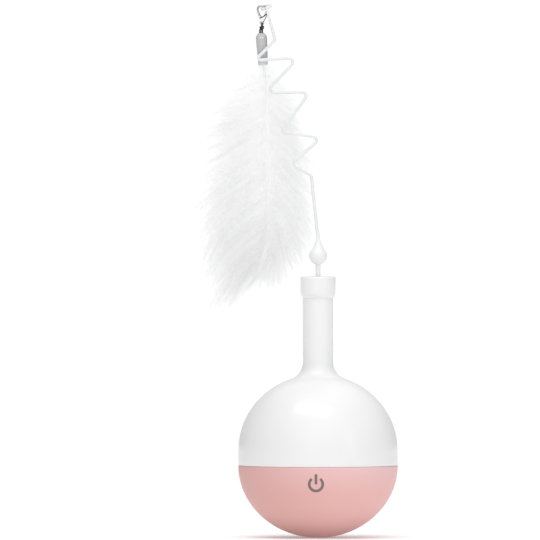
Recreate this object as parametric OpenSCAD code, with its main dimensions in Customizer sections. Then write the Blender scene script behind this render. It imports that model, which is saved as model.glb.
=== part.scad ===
// Self-righting teaser ball: a weighted bowl and dome with a tall neck, a zigzag wand and a feather.
// Millimetres, +Z up, origin at the middle of the flat foot, the power mark faces -Y.

/* [Body] */
// Outer radius of the ball at its seam
ball_r = 42; // [40:0.5:46]
// Height of the seam above the foot
seam_z = 38; // [37:0.5:41]
// Radius of the flat foot
foot_r = 4; // [3:0.5:7]
// Wall thickness of both shells
wall = 2.2; // [1.8:0.1:2.6]
// Height of the upright band above the seam
band_h = 8; // [7:0.5:12]
// Rise of the dome from its band to its crown
dome_h = 40; // [38:0.5:44]
// Depth of the dome's spigot inside the bowl's rim
spigot_h = 4; // [3:0.5:4.5]
// Bevel on each side of the seam
seam_bevel = 0.45; // [0.2:0.05:0.6]

/* [Neck and cap] */
// Outer radius of the neck
neck_r = 8; // [7.4:0.1:8.6]
// Fillet between the dome and the neck
neck_fillet = 9; // [5:0.1:11]
// Length of the neck from the dome's crown to the cap
neck_h = 40.1; // [34:0.1:44]
// Outer radius of the cap
cap_r = 9.25; // [9:0.05:10.5]
// Height of the cap
cap_h = 11.5; // [10:0.1:14]
// Height of the cap's sloping underside
cap_slope_h = 2.6; // [1.5:0.1:4]
// Rounding of the cap's top edge
cap_round = 1; // [0.4:0.1:1.4]
// Thickness of the cap's top plate
cap_plate = 2.2; // [1.6:0.1:3]
// Thickness of the socket's flange under that plate
flange_t = 1.4; // [1:0.1:2]

/* [Power mark] */
// Outer diameter of the printed ring
mark_d = 8.5; // [6:0.1:10]
// Width of the printed stroke
mark_stroke = 1.4; // [1:0.1:2]
// Height of the ring's centre above the foot
mark_z = 29.1; // [24:0.1:30]
// Turn of the mark around the ball, in degrees
mark_turn = -1.6; // [-5:0.1:5]

/* [Wand] */
// Radius of the stem
stem_r = 1.3; // [1.1:0.05:1.6]
// Depth of the stem in its socket
stem_depth = 13; // [10:0.5:16]
// Height of the bead's centre above the cap
bead_rise = 10.7; // [9:0.1:13]
// Radius of the bead
bead_r = 4.7; // [4:0.1:5.5]
// Length of the drawn-out tip above the bead's centre
bead_tip = 11.5; // [9:0.1:14]
// Radius of the zigzag wire
wire_r = 0.85; // [0.6:0.05:1]
// Radius of the wire's bends, along its middle
bend_r = 2; // [1.4:0.1:2.6]
// Radius of the end eye, along the wire's middle
eye_r = 2.3; // [2.2:0.1:2.8]

/* [Clasp and feather] */
// Outer radius of the clasp's hook
hook_r = 2.85; // [2.75:0.05:3]
// Width of the hook's metal, in its plane
hook_w = 1.1; // [0.8:0.05:1.1]
// Thickness of the hook
hook_t = 1.4; // [1:0.1:1.5]
// Thickness of the lever
lever_t = 0.6; // [0.4:0.05:0.7]
// Radius of one strand of the cord loop
cord_r = 0.5; // [0.4:0.05:0.55]
// Radius of the ferrule at its shoulder
ferrule_r = 2.95; // [2.4:0.05:3.1]
// Radius of the ferrule at its lower end
ferrule_low_r = 2.6; // [2.2:0.05:2.9]
// Length of the ferrule
ferrule_h = 17.2; // [14:0.1:20]
// Thickness of the feather's vane at its edge
vane_t = 1.8; // [1:0.1:2]
// Swell of the vane's back along its middle
vane_swell = 5; // [2:0.5:7]
// Depth of the tufts along the vane's edge
tuft = 1.4; // [0.4:0.1:2]

/* [Ballast and battery] */
// Radius of the ballast at its upper edge
ballast_r = 24; // [22:0.5:25]
// Radius of the ballast's flat bottom
ballast_low_r = 18; // [17:0.5:19]
// Circle of the ballast's screws
ballast_screw_r = 12; // [10:0.5:13]
// Battery cell, left to right
cell_w = 34; // [28:0.5:34]
// Battery cell, front to back
cell_d = 20; // [16:0.5:20]
// Battery cell, thickness
cell_h = 6.5; // [4:0.5:7]
// Thickness of the sticky pad under the cell
pad_t = 1; // [0.5:0.1:1.2]

/* [Drive] */
// Thickness of the chassis plate
chassis_t = 2; // [1.6:0.1:2.4]
// Circle of the posts that carry the chassis
post_ring_r = 29; // [28:0.5:29.5]
// Gear module
gear_m = 0.6; // [0.55:0.01:0.62]
// Teeth on each of the two pinions
pinion_teeth = 12; // [11:1:13]
// Teeth on the idler's large wheel
idler_teeth = 36; // [34:1:38]
// Teeth on the output gear
output_teeth = 48; // [46:1:50]
// Face width of the gears
gear_w = 3; // [2.4:0.1:3.2]
// Radius of the output shaft
shaft_r = 1.5; // [1.3:0.05:1.7]
// Radius of the idler's axle
axle_r = 1; // [0.8:0.05:1.2]
// Motor, along its flats
motor_w = 12; // [11:0.1:12.5]
// Motor, across its flats
motor_d = 10; // [9:0.1:10.2]
// Motor, length of can and end cap
motor_h = 15; // [13:0.1:15]
// Thickness of the gear cover
cover_t = 1.5; // [1.2:0.1:2]
// Radius of the eccentric weight
swing_r = 24; // [20:0.5:27]
// Thickness of the eccentric weight
swing_t = 5; // [4:0.1:6]

/* [Charging] */
// Circuit board, left to right
board_w = 24; // [22:0.5:25]
// Circuit board, thickness
board_t = 1; // [0.8:0.1:1.2]
// Charging socket, width
usb_w = 8.94; // [8.9:0.01:9]
// Charging socket, height
usb_h = 3.26; // [3.2:0.01:3.3]
// Charging socket, depth
usb_d = 7.3; // [7:0.1:7.6]

/* [Hidden] */
$fn = 96;
EPS = 0.01;
run_gap = 0.05;      // radial clearance of a running shaft
seat_gap = 0.1;      // clearance of a part that is pushed home
slot_gap = 0.15;     // clearance around the charging socket
part_gap = 0.3;      // clearance between parts that move past each other
profile_n = 22;      // steps along each curved profile
lead_r = 0.5;        // radius of an insulated lead
screw_r = 1;         // shank of every screw
head_r = 1.9;        // head of every screw
head_h = 1.3;
sunk_shank_r = 0.8;  // shank of the motor's countersunk screws
post_bite = 6;      // length of a chassis screw in its post
cover_bite = 5;      // length of a cover screw in its post

// Ball profiles
bowl_b = seam_z / sqrt(1 - pow(foot_r / ball_r, 2));
foot_angle = acos(foot_r / ball_r);
in_r = ball_r - wall;
in_b = bowl_b - wall;
band_top = seam_z + band_h;
crown_z = band_top + dome_h;
spigot_r = in_r;
spigot_t = wall * 0.55;
rim_r = spigot_r + seat_gap;
rim_z = seam_z - spigot_h;

function bowl_out_r(z) = ball_r * sqrt(1 - pow((seam_z - z) / bowl_b, 2));
function bowl_in_r(z) = in_r * sqrt(1 - pow((seam_z - z) / in_b, 2));
function bowl_in_z(r) = seam_z - in_b * sqrt(1 - pow(r / in_r, 2));
function bowl_arc(r, b, a0, a1) =
    [for (i = [0:profile_n]) let(a = a0 + (a1 - a0) * i / profile_n) [r * cos(a), seam_z - b * sin(a)]];
function dome_arc(r, b, a0, a1) =
    [for (i = [0:profile_n]) let(a = a0 + (a1 - a0) * i / profile_n) [r * cos(a), band_top + b * sin(a)]];

// The fillet's circle touches the neck and the dome; its place on the dome is found by halving
function fillet_x(a) =
    ball_r * cos(a) + neck_fillet * cos(a) / ball_r / norm([cos(a) / ball_r, sin(a) / dome_h]);
function fillet_find(lo, hi, n) =
    let(mid = (lo + hi) / 2)
    n == 0 ? mid :
    fillet_x(mid) > neck_r + neck_fillet ? fillet_find(mid, hi, n - 1) :
    fillet_find(lo, mid, n - 1);
fillet_a = fillet_find(45, 90, 24);
fillet_n = atan2(sin(fillet_a) / dome_h, cos(fillet_a) / ball_r);
fillet_z = band_top + dome_h * sin(fillet_a) + neck_fillet * sin(fillet_n);

// Neck, cap and socket heights
cap_z = crown_z + neck_h;
cap_top = cap_z + cap_h;
bore_r = neck_r - wall;
neck_spigot_r = neck_r - wall * 0.5;
neck_top = cap_top - cap_plate - flange_t;
socket_z = cap_top - stem_depth;
socket_floor = 2;

// Wand: bends of the wire as offsets from the bead's centre, read at the crest of each bend
bead_z = cap_top + bead_rise;
wire_start = [0, 0, 8.5];
wire_crests = [
    [-3.7, 0, 42.2],
    [-13, 0, 48.6],
    [-0.2, 0, 61.6],
    [-18.3, 0, 66],
    [-6, 0, 85.4],
    [-25.7, 0, 87],
    [-12.6, 0, 103.3],
    [-31.3, 0, 103.9],
    [-22.8, 0, 113.7]
];
eye_at = [-27.3, 3.6, 130.9];
eye_roll = 22.5;     // rise of the eye towards +X, in degrees
eye_tilt = 10;       // tip of the eye towards the front, in degrees
wire_sides = 10;
bend_steps = 5;

function unit(v) = v / norm(v);
function turn_x(v, a) = [v.x, v.y * cos(a) - v.z * sin(a), v.y * sin(a) + v.z * cos(a)];
function turn_y(v, a) = [v.x * cos(a) + v.z * sin(a), v.y, v.z * cos(a) - v.x * sin(a)];
function eye_point(v) = eye_at + turn_y(turn_x(v, eye_tilt), -eye_roll);
wire_end = eye_point([0, -eye_r, 0]);
wire_marks = concat([wire_start], wire_crests, [wire_end]);

// A bend's corner stands out from its crest, so that the rounded wire passes through the crest
function half_angle(p, q, s) = acos(unit(p - q) * unit(s - q)) / 2;
function bisector(p, q, s) = unit(unit(p - q) + unit(s - q));
function corner(m, i) =
    i == 0 || i == len(m) - 1 ? m[i] :
    m[i] - bisector(m[i - 1], m[i], m[i + 1]) * bend_r * (1 / sin(half_angle(m[i - 1], m[i], m[i + 1])) - 1);
function bend(p, q, s) =
    let(
        h = half_angle(p, q, s),
        c = q + bisector(p, q, s) * bend_r / sin(h),
        a = q + unit(p - q) * bend_r / tan(h) - c,
        b = q + unit(s - q) * bend_r / tan(h) - c,
        w = 180 - 2 * h
    )
    [for (k = [0:bend_steps]) let(t = k / bend_steps) c + (a * sin((1 - t) * w) + b * sin(t * w)) / sin(w)];
wire_corners = [for (i = [0:len(wire_marks) - 1]) corner(wire_marks, i)];
wire_path = concat(
    [wire_corners[0]],
    [for (i = [1:len(wire_corners) - 2])
        each bend(wire_corners[i - 1], wire_corners[i], wire_corners[i + 1])],
    [wire_corners[len(wire_corners) - 1]]
);

// Clasp: the hook hangs on the eye's near side, and its own base eye carries the feather
hang_at = [0, 0, bead_z] + eye_point([-eye_r, 0, 0]);
hook_drop = 0.4;     // the hook's centre below the wire that it hangs on
hook_in_r = hook_r - hook_w;
hook_low = [0.25, -5];
hook_low_r = 1.4;
hook_hole_low = [0.25, -3.2];
hook_hole_low_r = 0.8;
hook_base_t = 1.9;
mouth_r = 3.9;       // the mouth is cut round the lever's pin, so that the lever swings clear of the tip
pin_at = [0.95, -4.6];
pin_r = 0.4;
lever_hub_r = 0.85;
base_eye = [-0.05, -7.4];
base_eye_out = 1.25;
base_eye_in = cord_r + 0.2;

// Feather: everything below the clasp's base eye, leaning a little back behind the wire
feather_at = hang_at + [base_eye.x, 0, base_eye.y];
feather_lean = 3;
ferrule_turn = 3.5;
ferrule_top = [-0.5, -5.2];
cord_spread = cord_r + 0.07;
ferrule_low = ferrule_top + ferrule_h * [sin(ferrule_turn), -cos(ferrule_turn)];
quill_marks = [[0, 1.5], [1.5, -8], [2, -34], [2.6, -55], [4.1, -76], [2, -96], [-3, -108]];
quill_r = 0.8;
quill_tip_r = 0.3;
vane_edge = [
    [-2.4, -0.8], [-12, -9.5], [-20, -20], [-25.5, -35], [-29.5, -43], [-30.5, -60], [-30, -90],
    [-29.5, -102], [-28, -112], [-24, -120.5], [-22.5, -123.5], [-16.5, -121], [-9, -113], [-0.5, -116],
    [5, -112], [13, -106], [18.5, -97], [22.5, -92], [24, -82], [22.5, -65.5], [24, -50], [21, -39],
    [17, -24.5], [11, -12], [2.4, -0.8]
];
tuft_steps = 4;
vane_mid = [-3.25, -62];
vane_half = [28, 62.5];

// Drive stack, from the chassis up
chassis_drop = 1;
chassis_z = rim_z - chassis_drop - chassis_t;
chassis_top = chassis_z + chassis_t;
post_angles = [30, 150, 270];
post_r = 3;
chassis_rim = 4;     // from the posts' circle to the chassis plate's edge
chassis_r = post_ring_r + chassis_rim;
addendum = 0.8 * gear_m;
dedendum = 1.05 * gear_m;
pressure = 25;
backlash = 0.16;
idler_turn = 180;
motor_turn = 60;
idler_dist = gear_m * (pinion_teeth + output_teeth) / 2;
motor_dist = gear_m * (pinion_teeth + idler_teeth) / 2;
idler_at = idler_dist * [cos(idler_turn), sin(idler_turn)];
motor_at = idler_at + motor_dist * [cos(motor_turn), sin(motor_turn)];
lower_z = chassis_top + 0.6;
upper_z = lower_z + gear_w + 0.6;
cover_z = upper_z + gear_w + 1;
cover_top = cover_z + cover_t;
cover_post_r = 3;
cover_ring_r = gear_m * output_teeth / 2 + addendum + cover_post_r + 3.5;
cover_angles = [16, -16, 254, 79];
cover_r = cover_ring_r + cover_post_r + 1.6;
bush_t = 0.9;
bush_r = shaft_r + run_gap + bush_t;
bush_flange_r = shaft_r + 2.2;
bush_flange_t = 0.6;
bush_depth = chassis_t + 2.6;
bush_floor = 0.9;
end_play = 0.1;
shaft_z = chassis_top - bush_depth + bush_floor + end_play;
swing_hub_r = 5;
swing_hub_z = cover_top + bush_flange_t + part_gap;
swing_z = cover_top + head_h + 2 * part_gap;
swing_top = swing_z + swing_t;
clip_t = 0.5;
clip_bite = 0.4;
clip_z = swing_top + end_play;
shaft_top = swing_top + 2.2;
grub_r = 1;
grub_z = (swing_hub_z + swing_top) / 2;
motor_shaft_r = 0.75;
rotor_depth = 6;
motor_cap_h = 3.2;
motor_screw_gap = 4.5;

// Ballast and battery stack, which fills the bowl up to the motor
ballast_gap = 1;
motor_room = 0.6;    // from the ballast to the motor
ballast_z = bowl_in_z(ballast_low_r) + ballast_gap;
ballast_edge_z = bowl_in_z(ballast_r) + ballast_gap;
ballast_top = chassis_z - motor_h - motor_room;
ballast_h = ballast_top - ballast_z;
ballast_angles = [90, 210, 330];
boss_r = 3;
boss_skin = 1.2;     // plastic left under each screw hole
cell_y = -4;
cell_z = ballast_top + pad_t;

// Charging board, hung under the chassis at the back, between the motor and the bowl
board_drop = 1.6;
board_room = 3;      // from the motor to the board
board_gap = 0.9;     // from the board's corners to the bowl
board_z = chassis_z - board_drop - board_t;
board_y = motor_at.y + motor_d / 2 + board_room;
board_back = sqrt(pow(bowl_in_r(board_z), 2) - pow(board_w / 2, 2)) - board_gap;
board_d = board_back - board_y;
usb_z = board_z - usb_h;
usb_mid = usb_z + usb_h / 2;
usb_face = bowl_out_r(usb_mid) - 0.9;
usb_corner = 1.2;
usb_shell = 0.3;
usb_tongue_t = 0.7;
light_x = 8.2;
light_r = 0.9;
light_chip_d = 1.6;
board_screw_x = 9;
board_screw_y = board_y + 3.5;
standoff_r = 2.2;
plug_w = 4.6;
plug_d = 3;
plug_h = 2.4;
plug_x = [4.4, -3];
touch_r = 4.2;
touch_t = 0.4;
touch_clear = 0.7;
touch_z = min(mark_z, rim_z - touch_clear - touch_r);
touch_face = ball_r * sqrt(1 - pow((seam_z - touch_z) / bowl_b, 2)) - wall - touch_t;
plug_mid = board_z - plug_h / 2;
light_face = sqrt(pow(bowl_out_r(usb_mid), 2) - pow(light_x + light_r, 2));
light_back = board_back - 1.5;

// Shapes that repeat

// A tube along a path of points, with one radius for each point; its seam faces the front
module tube(path, radii, sides) {
    n = len(path);
    points = [for (i = [0:n - 1])
        let(
            t = unit(path[min(i + 1, n - 1)] - path[max(i - 1, 0)]),
            front = abs(t.y) > 0.9 ? [1, 0, 0] : [0, -1, 0],
            u = unit(front - t * (front * t)),
            v = cross(t, u)
        )
        for (k = [0:sides - 1])
            path[i] + radii[i] * (u * cos(360 * k / sides) + v * sin(360 * k / sides))];
    walls = [for (i = [0:n - 2]) for (k = [0:sides - 1])
        let(a = i * sides + k, b = i * sides + (k + 1) % sides)
        each [[a, a + sides, b], [b, a + sides, b + sides]]];
    first = [for (k = [1:sides - 2]) [0, k, k + 1]];
    last = [for (k = [1:sides - 2]) let(o = (n - 1) * sides) [o, o + k + 1, o + k]];
    polyhedron(points, concat(walls, first, last));
}

module lead(path) {
    tube(path, [for (p = path) lead_r], 8);
}

// A pan-head screw with its head at z = 0, pointing down, with a cross recess
module screw(length) {
    difference() {
        union() {
            cylinder(r = head_r, h = head_h);
            translate([0, 0, -length])
                cylinder(r = screw_r, h = length + EPS);
        }
        for (a = [0, 90])
            rotate(a)
                translate([-head_r * 0.6, -0.25, head_h - 0.6])
                    cube([head_r * 1.2, 0.5, 1]);
    }
}

// Involute spur gear of one module, with a tooth centred on +X
function roll(a) = tan(a) * 180 / PI - a;
function tooth_half(teeth, r) =
    let(
        pitch_r = gear_m * teeth / 2,
        base_r = pitch_r * cos(pressure),
        thin = backlash / 4 / pitch_r * 180 / PI
    )
    90 / teeth - thin + roll(pressure) - roll(acos(min(1, base_r / max(r, base_r))));
module gear_outline(teeth) {
    pitch_r = gear_m * teeth / 2;
    base_r = pitch_r * cos(pressure);
    root_r = pitch_r - dedendum;
    radii = [root_r, max(base_r, root_r + 0.1), pitch_r, pitch_r + addendum];
    flank = [for (r = radii) [r, tooth_half(teeth, r)]];
    side = concat([for (f = flank) [f[0], -f[1]]], [for (i = [len(flank) - 1:-1:0]) flank[i]]);
    polygon([for (k = [0:teeth - 1]) for (s = side)
        let(a = s[1] + 360 * k / teeth)
        s[0] * [cos(a), sin(a)]]);
}
module gear(teeth, z, height, turn) {
    translate([0, 0, z])
        rotate(turn)
            linear_extrude(height)
                gear_outline(teeth);
}

// Solids of revolution for the ball

module bowl_solid() {
    rotate_extrude()
        polygon(concat([[0, seam_z]], bowl_arc(ball_r, bowl_b, 0, foot_angle), [[0, 0]]));
}
module bowl_space() {
    rotate_extrude()
        polygon(concat([[0, seam_z + 1], [in_r, seam_z + 1]], bowl_arc(in_r, in_b, 0, 90)));
}
module bowl_skin(lift, thick, end_angle) {
    inner = bowl_arc(ball_r + lift, bowl_b + lift, 0, end_angle);
    outer = bowl_arc(ball_r + lift + thick, bowl_b + lift + thick, 0, end_angle);
    rotate_extrude()
        polygon(concat(inner, [for (i = [len(outer) - 1:-1:0]) outer[i]]));
}

// Pink lower half, with its screw posts, rim rebate, charging slot and light hole
module lower_bowl() {
    color([0.92, 0.74, 0.73])
        difference() {
            union() {
                difference() {
                    bowl_solid();
                    bowl_space();
                }
                intersection() {
                    bowl_solid();
                    union() {
                        for (a = ballast_angles)
                            rotate(a)
                                translate([ballast_screw_r, 0, 0])
                                    cylinder(r = boss_r, h = ballast_z);
                        for (a = post_angles)
                            rotate(a)
                                translate([post_ring_r, 0, 0])
                                    cylinder(r = post_r, h = chassis_z);
                    }
                }
            }
            translate([0, 0, rim_z])
                cylinder(r = rim_r, h = spigot_h + 1);
            rotate_extrude()
                polygon([
                    [ball_r - seam_bevel, seam_z + EPS],
                    [ball_r + 1, seam_z + EPS],
                    [ball_r + 1, seam_z - seam_bevel - 1]
                ]);
            for (a = ballast_angles)
                rotate(a)
                    translate([ballast_screw_r, 0, bowl_in_z(ballast_screw_r) - wall + boss_skin])
                        cylinder(r = screw_r + run_gap, h = ballast_h);
            for (a = post_angles)
                rotate(a)
                    translate([post_ring_r, 0, chassis_z - post_bite - 2])
                        cylinder(r = screw_r + run_gap, h = post_bite + 3);
            translate([0, in_r - 8, usb_mid])
                rotate([-90, 0, 0])
                    linear_extrude(20)
                        usb_outline(slot_gap);
            translate([light_x, in_r - 8, usb_mid])
                rotate([-90, 0, 0])
                    cylinder(r = light_r + run_gap, h = 20);
        }
}

// White upper half with the neck moulded on and a spigot that snaps into the bowl
module upper_dome() {
    fillet_steps = 10;
    neck_curve = [for (i = [0:fillet_steps])
        let(a = 180 + fillet_n * (1 - i / fillet_steps))
        [neck_r + neck_fillet + neck_fillet * cos(a), fillet_z + neck_fillet * sin(a)]];
    outer = concat(
        [[ball_r - seam_bevel, seam_z], [ball_r, seam_z + seam_bevel]],
        dome_arc(ball_r, dome_h, 0, fillet_a),
        neck_curve,
        [[neck_r, cap_z], [neck_spigot_r, cap_z], [neck_spigot_r, neck_top], [bore_r, neck_top]]
    );
    crown_a = acos(bore_r / in_r);
    inside = dome_arc(in_r, dome_h - wall, 0, crown_a);
    root_z = seam_z + spigot_h / 2;
    inner = concat(
        [for (i = [len(inside) - 1:-1:0]) inside[i]],
        [
            [in_r, root_z + spigot_t],
            [in_r - spigot_t, root_z],
            [in_r - spigot_t, rim_z],
            [in_r, rim_z],
            [in_r, seam_z]
        ]
    );
    color([0.96, 0.96, 0.96])
        rotate_extrude()
            polygon(concat(outer, inner));
}

// White ring cap, pushed over the neck's spigot down to its shoulder
module neck_cap() {
    round_steps = 6;
    inside_r = neck_spigot_r + seat_gap;
    edge = [for (i = [0:round_steps])
        let(a = 90 * i / round_steps)
        [cap_r - cap_round + cap_round * cos(a), cap_top - cap_round + cap_round * sin(a)]];
    color([0.96, 0.96, 0.96])
        rotate_extrude()
            polygon(concat(
                [[inside_r, cap_z], [neck_r, cap_z], [cap_r, cap_z + cap_slope_h]],
                edge,
                [[stem_r + part_gap, cap_top], [stem_r + part_gap, cap_top - cap_plate],
                 [inside_r, cap_top - cap_plate]]
            ));
}

// Silicone socket that grips the wand's stem, held by its flange under the cap
module wand_socket() {
    flange_r = neck_spigot_r - seat_gap;
    color([0.85, 0.85, 0.83])
        rotate_extrude()
            polygon([
                [0, socket_z - socket_floor],
                [bore_r - seat_gap, socket_z - socket_floor],
                [bore_r - seat_gap, neck_top],
                [flange_r, neck_top],
                [flange_r, neck_top + flange_t],
                [stem_r + run_gap, neck_top + flange_t],
                [stem_r + run_gap, socket_z],
                [0, socket_z]
            ]);
}

// Printed ring and bar over the touch key
module power_mark() {
    print_t = 0.12;
    gap_half = 38;
    ring_r = mark_d / 2;
    color([0.47, 0.42, 0.42])
        rotate(mark_turn)
            intersection() {
                bowl_skin(0, print_t, foot_angle);
                translate([0, 0, mark_z])
                    rotate([90, 0, 0])
                        linear_extrude(ball_r + 2)
                            union() {
                                difference() {
                                    circle(r = ring_r);
                                    circle(r = ring_r - mark_stroke);
                                    polygon([
                                        [0, 0],
                                        2 * ring_r * [sin(gap_half), cos(gap_half)],
                                        2 * ring_r * [-sin(gap_half), cos(gap_half)]
                                    ]);
                                }
                                translate([-mark_stroke / 2, 0])
                                    square([mark_stroke, ring_r + mark_stroke * 0.7]);
                            }
            }
}

// Wand: stem, drop-shaped bead and the zigzag wire that ends in an eye
module wand_root() {
    drop_steps = 14;
    meet = 35;
    neck_w = wire_r * 1.15;
    tip_z = bead_z + bead_tip;
    meet_r = bead_r * cos(meet);
    meet_z = bead_z + bead_r * sin(meet);
    ball = [for (i = [0:drop_steps])
        let(a = -acos(stem_r / bead_r) + (meet + acos(stem_r / bead_r)) * i / drop_steps)
        [bead_r * cos(a), bead_z + bead_r * sin(a)]];
    drawn = [for (i = [1:drop_steps])
        let(t = i / drop_steps)
        [neck_w + (meet_r - neck_w) * pow(1 - t, 2.2), meet_z + (tip_z - meet_z) * t]];
    color([0.93, 0.93, 0.93])
        difference() {
            rotate_extrude()
                polygon(concat([[0, socket_z], [stem_r, socket_z]], ball, drawn, [[0, tip_z]]));
            wire_bore();
        }
}

// The wire's lower end is moulded into the bead
module wire_bore() {
    translate([0, 0, bead_z])
        tube([wire_corners[0], wire_corners[1]], [wire_r, wire_r], wire_sides);
}

module wand_wire() {
    color([0.93, 0.93, 0.93])
        translate([0, 0, bead_z])
            union() {
                tube(wire_path, [for (p = wire_path) wire_r], wire_sides);
                translate(eye_at)
                    rotate([0, -eye_roll, 0])
                        rotate([eye_tilt, 0, 0])
                            rotate_extrude($fn = 48)
                                translate([eye_r, 0])
                                    circle(r = wire_r, $fn = 24);
            }
}

// Lobster clasp, drawn in the plane of its hook
module on_hook(thick) {
    translate(hang_at)
        rotate([90, 0, 0])
            translate([0, 0, -thick / 2])
                linear_extrude(thick)
                    children();
}
module hook_form() {
    difference() {
        hull() {
            translate([0, -hook_drop])
                circle(r = hook_r, $fn = 32);
            translate(hook_low)
                circle(r = hook_low_r, $fn = 32);
        }
        hook_hole();
    }
}
module hook_hole() {
    hull() {
        translate([0, -hook_drop])
            circle(r = hook_in_r, $fn = 32);
        translate(hook_hole_low)
            circle(r = hook_hole_low_r, $fn = 32);
    }
}
module mouth(lap) {
    intersection() {
        translate([hook_hole_low.x, pin_at.y + lap])
            square([2 * hook_r, mouth_r]);
        translate(pin_at)
            circle(r = mouth_r - lap);
    }
}

module clasp_hook() {
    color("silver")
        difference() {
            union() {
                on_hook(hook_t)
                    difference() {
                        hook_form();
                        mouth(0);
                    }
                on_hook(hook_base_t)
                    intersection() {
                        hook_form();
                        translate([-hook_r, hook_low.y - hook_low_r])
                            square([2 * hook_r, pin_at.y + lever_hub_r - hook_low.y + hook_low_r]);
                    }
                on_hook(hook_t)
                    translate(base_eye)
                        circle(r = base_eye_out);
            }
            on_hook(hook_base_t + 1)
                translate(base_eye)
                    circle(r = base_eye_in);
            on_hook(lever_t + 2 * slot_gap) {
                translate(pin_at)
                    circle(r = lever_hub_r + part_gap);
                mouth(0);
            }
            on_hook(hook_base_t + 1)
                translate(pin_at)
                    circle(r = pin_r);
        }
}

module clasp_lever() {
    color([0.9, 0.88, 0.82])
        on_hook(lever_t)
            difference() {
                union() {
                    intersection() {
                        hook_form();
                        mouth(slot_gap);
                    }
                    translate(pin_at)
                        circle(r = lever_hub_r);
                }
                translate(pin_at)
                    circle(r = pin_r + run_gap);
            }
}

module clasp_pin() {
    color("silver")
        on_hook(hook_base_t)
            translate(pin_at)
                circle(r = pin_r);
}

// Points of the feather's plane: x to the right, y up, and the lean carries it back as it goes down
function feather_point(p) = feather_at + [p.x, -p.y * tan(feather_lean), p.y];

// Doubled cord, passed through the clasp's base eye and down into the ferrule
module cord_loop() {
    reach = hook_t / 2 + base_eye_in;
    turn_steps = 4;
    below_eye = -base_eye_out - cord_r * 0.5;
    meet = ferrule_top.y * 0.62;
    low = ferrule_top.y - 1.2;
    over = [for (s = [-1, 1]) for (i = [0:turn_steps])
        let(k = s < 0 ? turn_steps - i : i, a = 90 * k / turn_steps)
        [0, s * (hook_t / 2 + base_eye_in * sin(a)), -base_eye_in * (1 - cos(a))]];
    loop = concat([[0, -reach, below_eye]], over, [[0, reach, below_eye]]);
    front = [for (z = [low, meet]) feather_point([ferrule_top.x + cord_spread, z])];
    back = [for (z = [meet, low]) feather_point([ferrule_top.x - cord_spread, z])];
    path = concat(front, [for (p = loop) feather_at + p], back);
    color([0.08, 0.08, 0.08])
        tube(path, [for (p = path) cord_r], 8);
}

module on_ferrule() {
    translate(feather_point(ferrule_top))
        rotate([feather_lean, -ferrule_turn, 0])
            mirror([0, 0, 1])
                children();
}

// Crimped grey cap of the feather: a bullet shoulder, a slight taper and a rounded lower lip
module feather_ferrule() {
    shoulder = 2.2;
    lip = 0.8;
    rim_t = 0.4;
    hole_r = cord_spread + cord_r + seat_gap;
    mouth_r = hole_r + rim_t;
    steps = 6;
    nose = [for (i = [0:steps])
        let(a = 90 * i / steps)
        [mouth_r + (ferrule_r - mouth_r) * sin(a), shoulder * (1 - cos(a))]];
    low = [for (i = [0:steps])
        let(a = 90 * i / steps)
        [ferrule_low_r - lip + lip * cos(a), ferrule_h - lip + lip * sin(a)]];
    plug = ferrule_h - 6;
    color([0.72, 0.72, 0.72])
        on_ferrule()
            rotate_extrude()
                polygon(concat(
                    [[0, shoulder], [hole_r, shoulder], [hole_r, 0]],
                    nose,
                    low,
                    [[quill_r + seat_gap, ferrule_h], [quill_r + seat_gap, plug], [0, plug]]
                ));
}

module feather_quill() {
    marks = [for (p = quill_marks) ferrule_low + p];
    path = concat(
        [feather_point(ferrule_low + 5 * [-sin(ferrule_turn), cos(ferrule_turn)])],
        [for (p = marks) feather_point(p)]
    );
    last = len(path) - 1;
    color([0.97, 0.96, 0.93])
        tube(path, [for (i = [0:last]) quill_r + (quill_tip_r - quill_r) * i / last], 8);
}

// Leaf-shaped plume; its edge runs out in tufts
module feather_vane() {
    n = len(vane_edge);
    edge = [for (i = [0:n - 2])
        let(p = vane_edge[i], q = vane_edge[i + 1], d = unit(q - p), out = [d.y, -d.x])
        for (k = [0:tuft_steps - 1])
            p + (q - p) * k / tuft_steps + out * (k % 2 == 1 ? tuft * 0.5 : -tuft * 0.5)];
    color([0.95, 0.95, 0.95])
        translate(feather_point(ferrule_low))
            rotate([feather_lean, 0, 0])
                difference() {
                    intersection() {
                        rotate([90, 0, 0])
                            translate([0, 0, -vane_t / 2 - vane_swell])
                                linear_extrude(vane_t + vane_swell)
                                    polygon(concat(edge, [vane_edge[n - 1]]));
                        translate([vane_mid.x, 0, vane_mid.y])
                            vane_round(vane_half.x);
                        translate([vane_mid.x, 0, vane_mid.y])
                            rotate([0, 90, 0])
                                vane_round(vane_half.y);
                    }
                    vane_groove();
                }
}

// A wide round that carries the vane's back from its swell to its edge
module vane_round(half) {
    round_r = (pow(half, 2) + pow(vane_swell, 2)) / (2 * vane_swell);
    translate([0, vane_t / 2 + vane_swell - round_r, 0])
        cylinder(r = round_r, h = 3 * vane_half.y, center = true, $fn = 360);
}

// Channel along the vane that the quill lies in, open to the front
module vane_groove() {
    n = len(quill_marks);
    room = quill_r + seat_gap;
    rotate([90, 0, 0])
        translate([0, 0, -room])
            linear_extrude(room + vane_t)
                for (i = [0:n - 2]) {
                    d = unit(quill_marks[i + 1] - quill_marks[i]);
                    side = room * [d.y, -d.x];
                    polygon([
                        quill_marks[i] + side,
                        quill_marks[i + 1] + side + room * d,
                        quill_marks[i + 1] - side + room * d,
                        quill_marks[i] - side
                    ]);
                }
}

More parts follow.
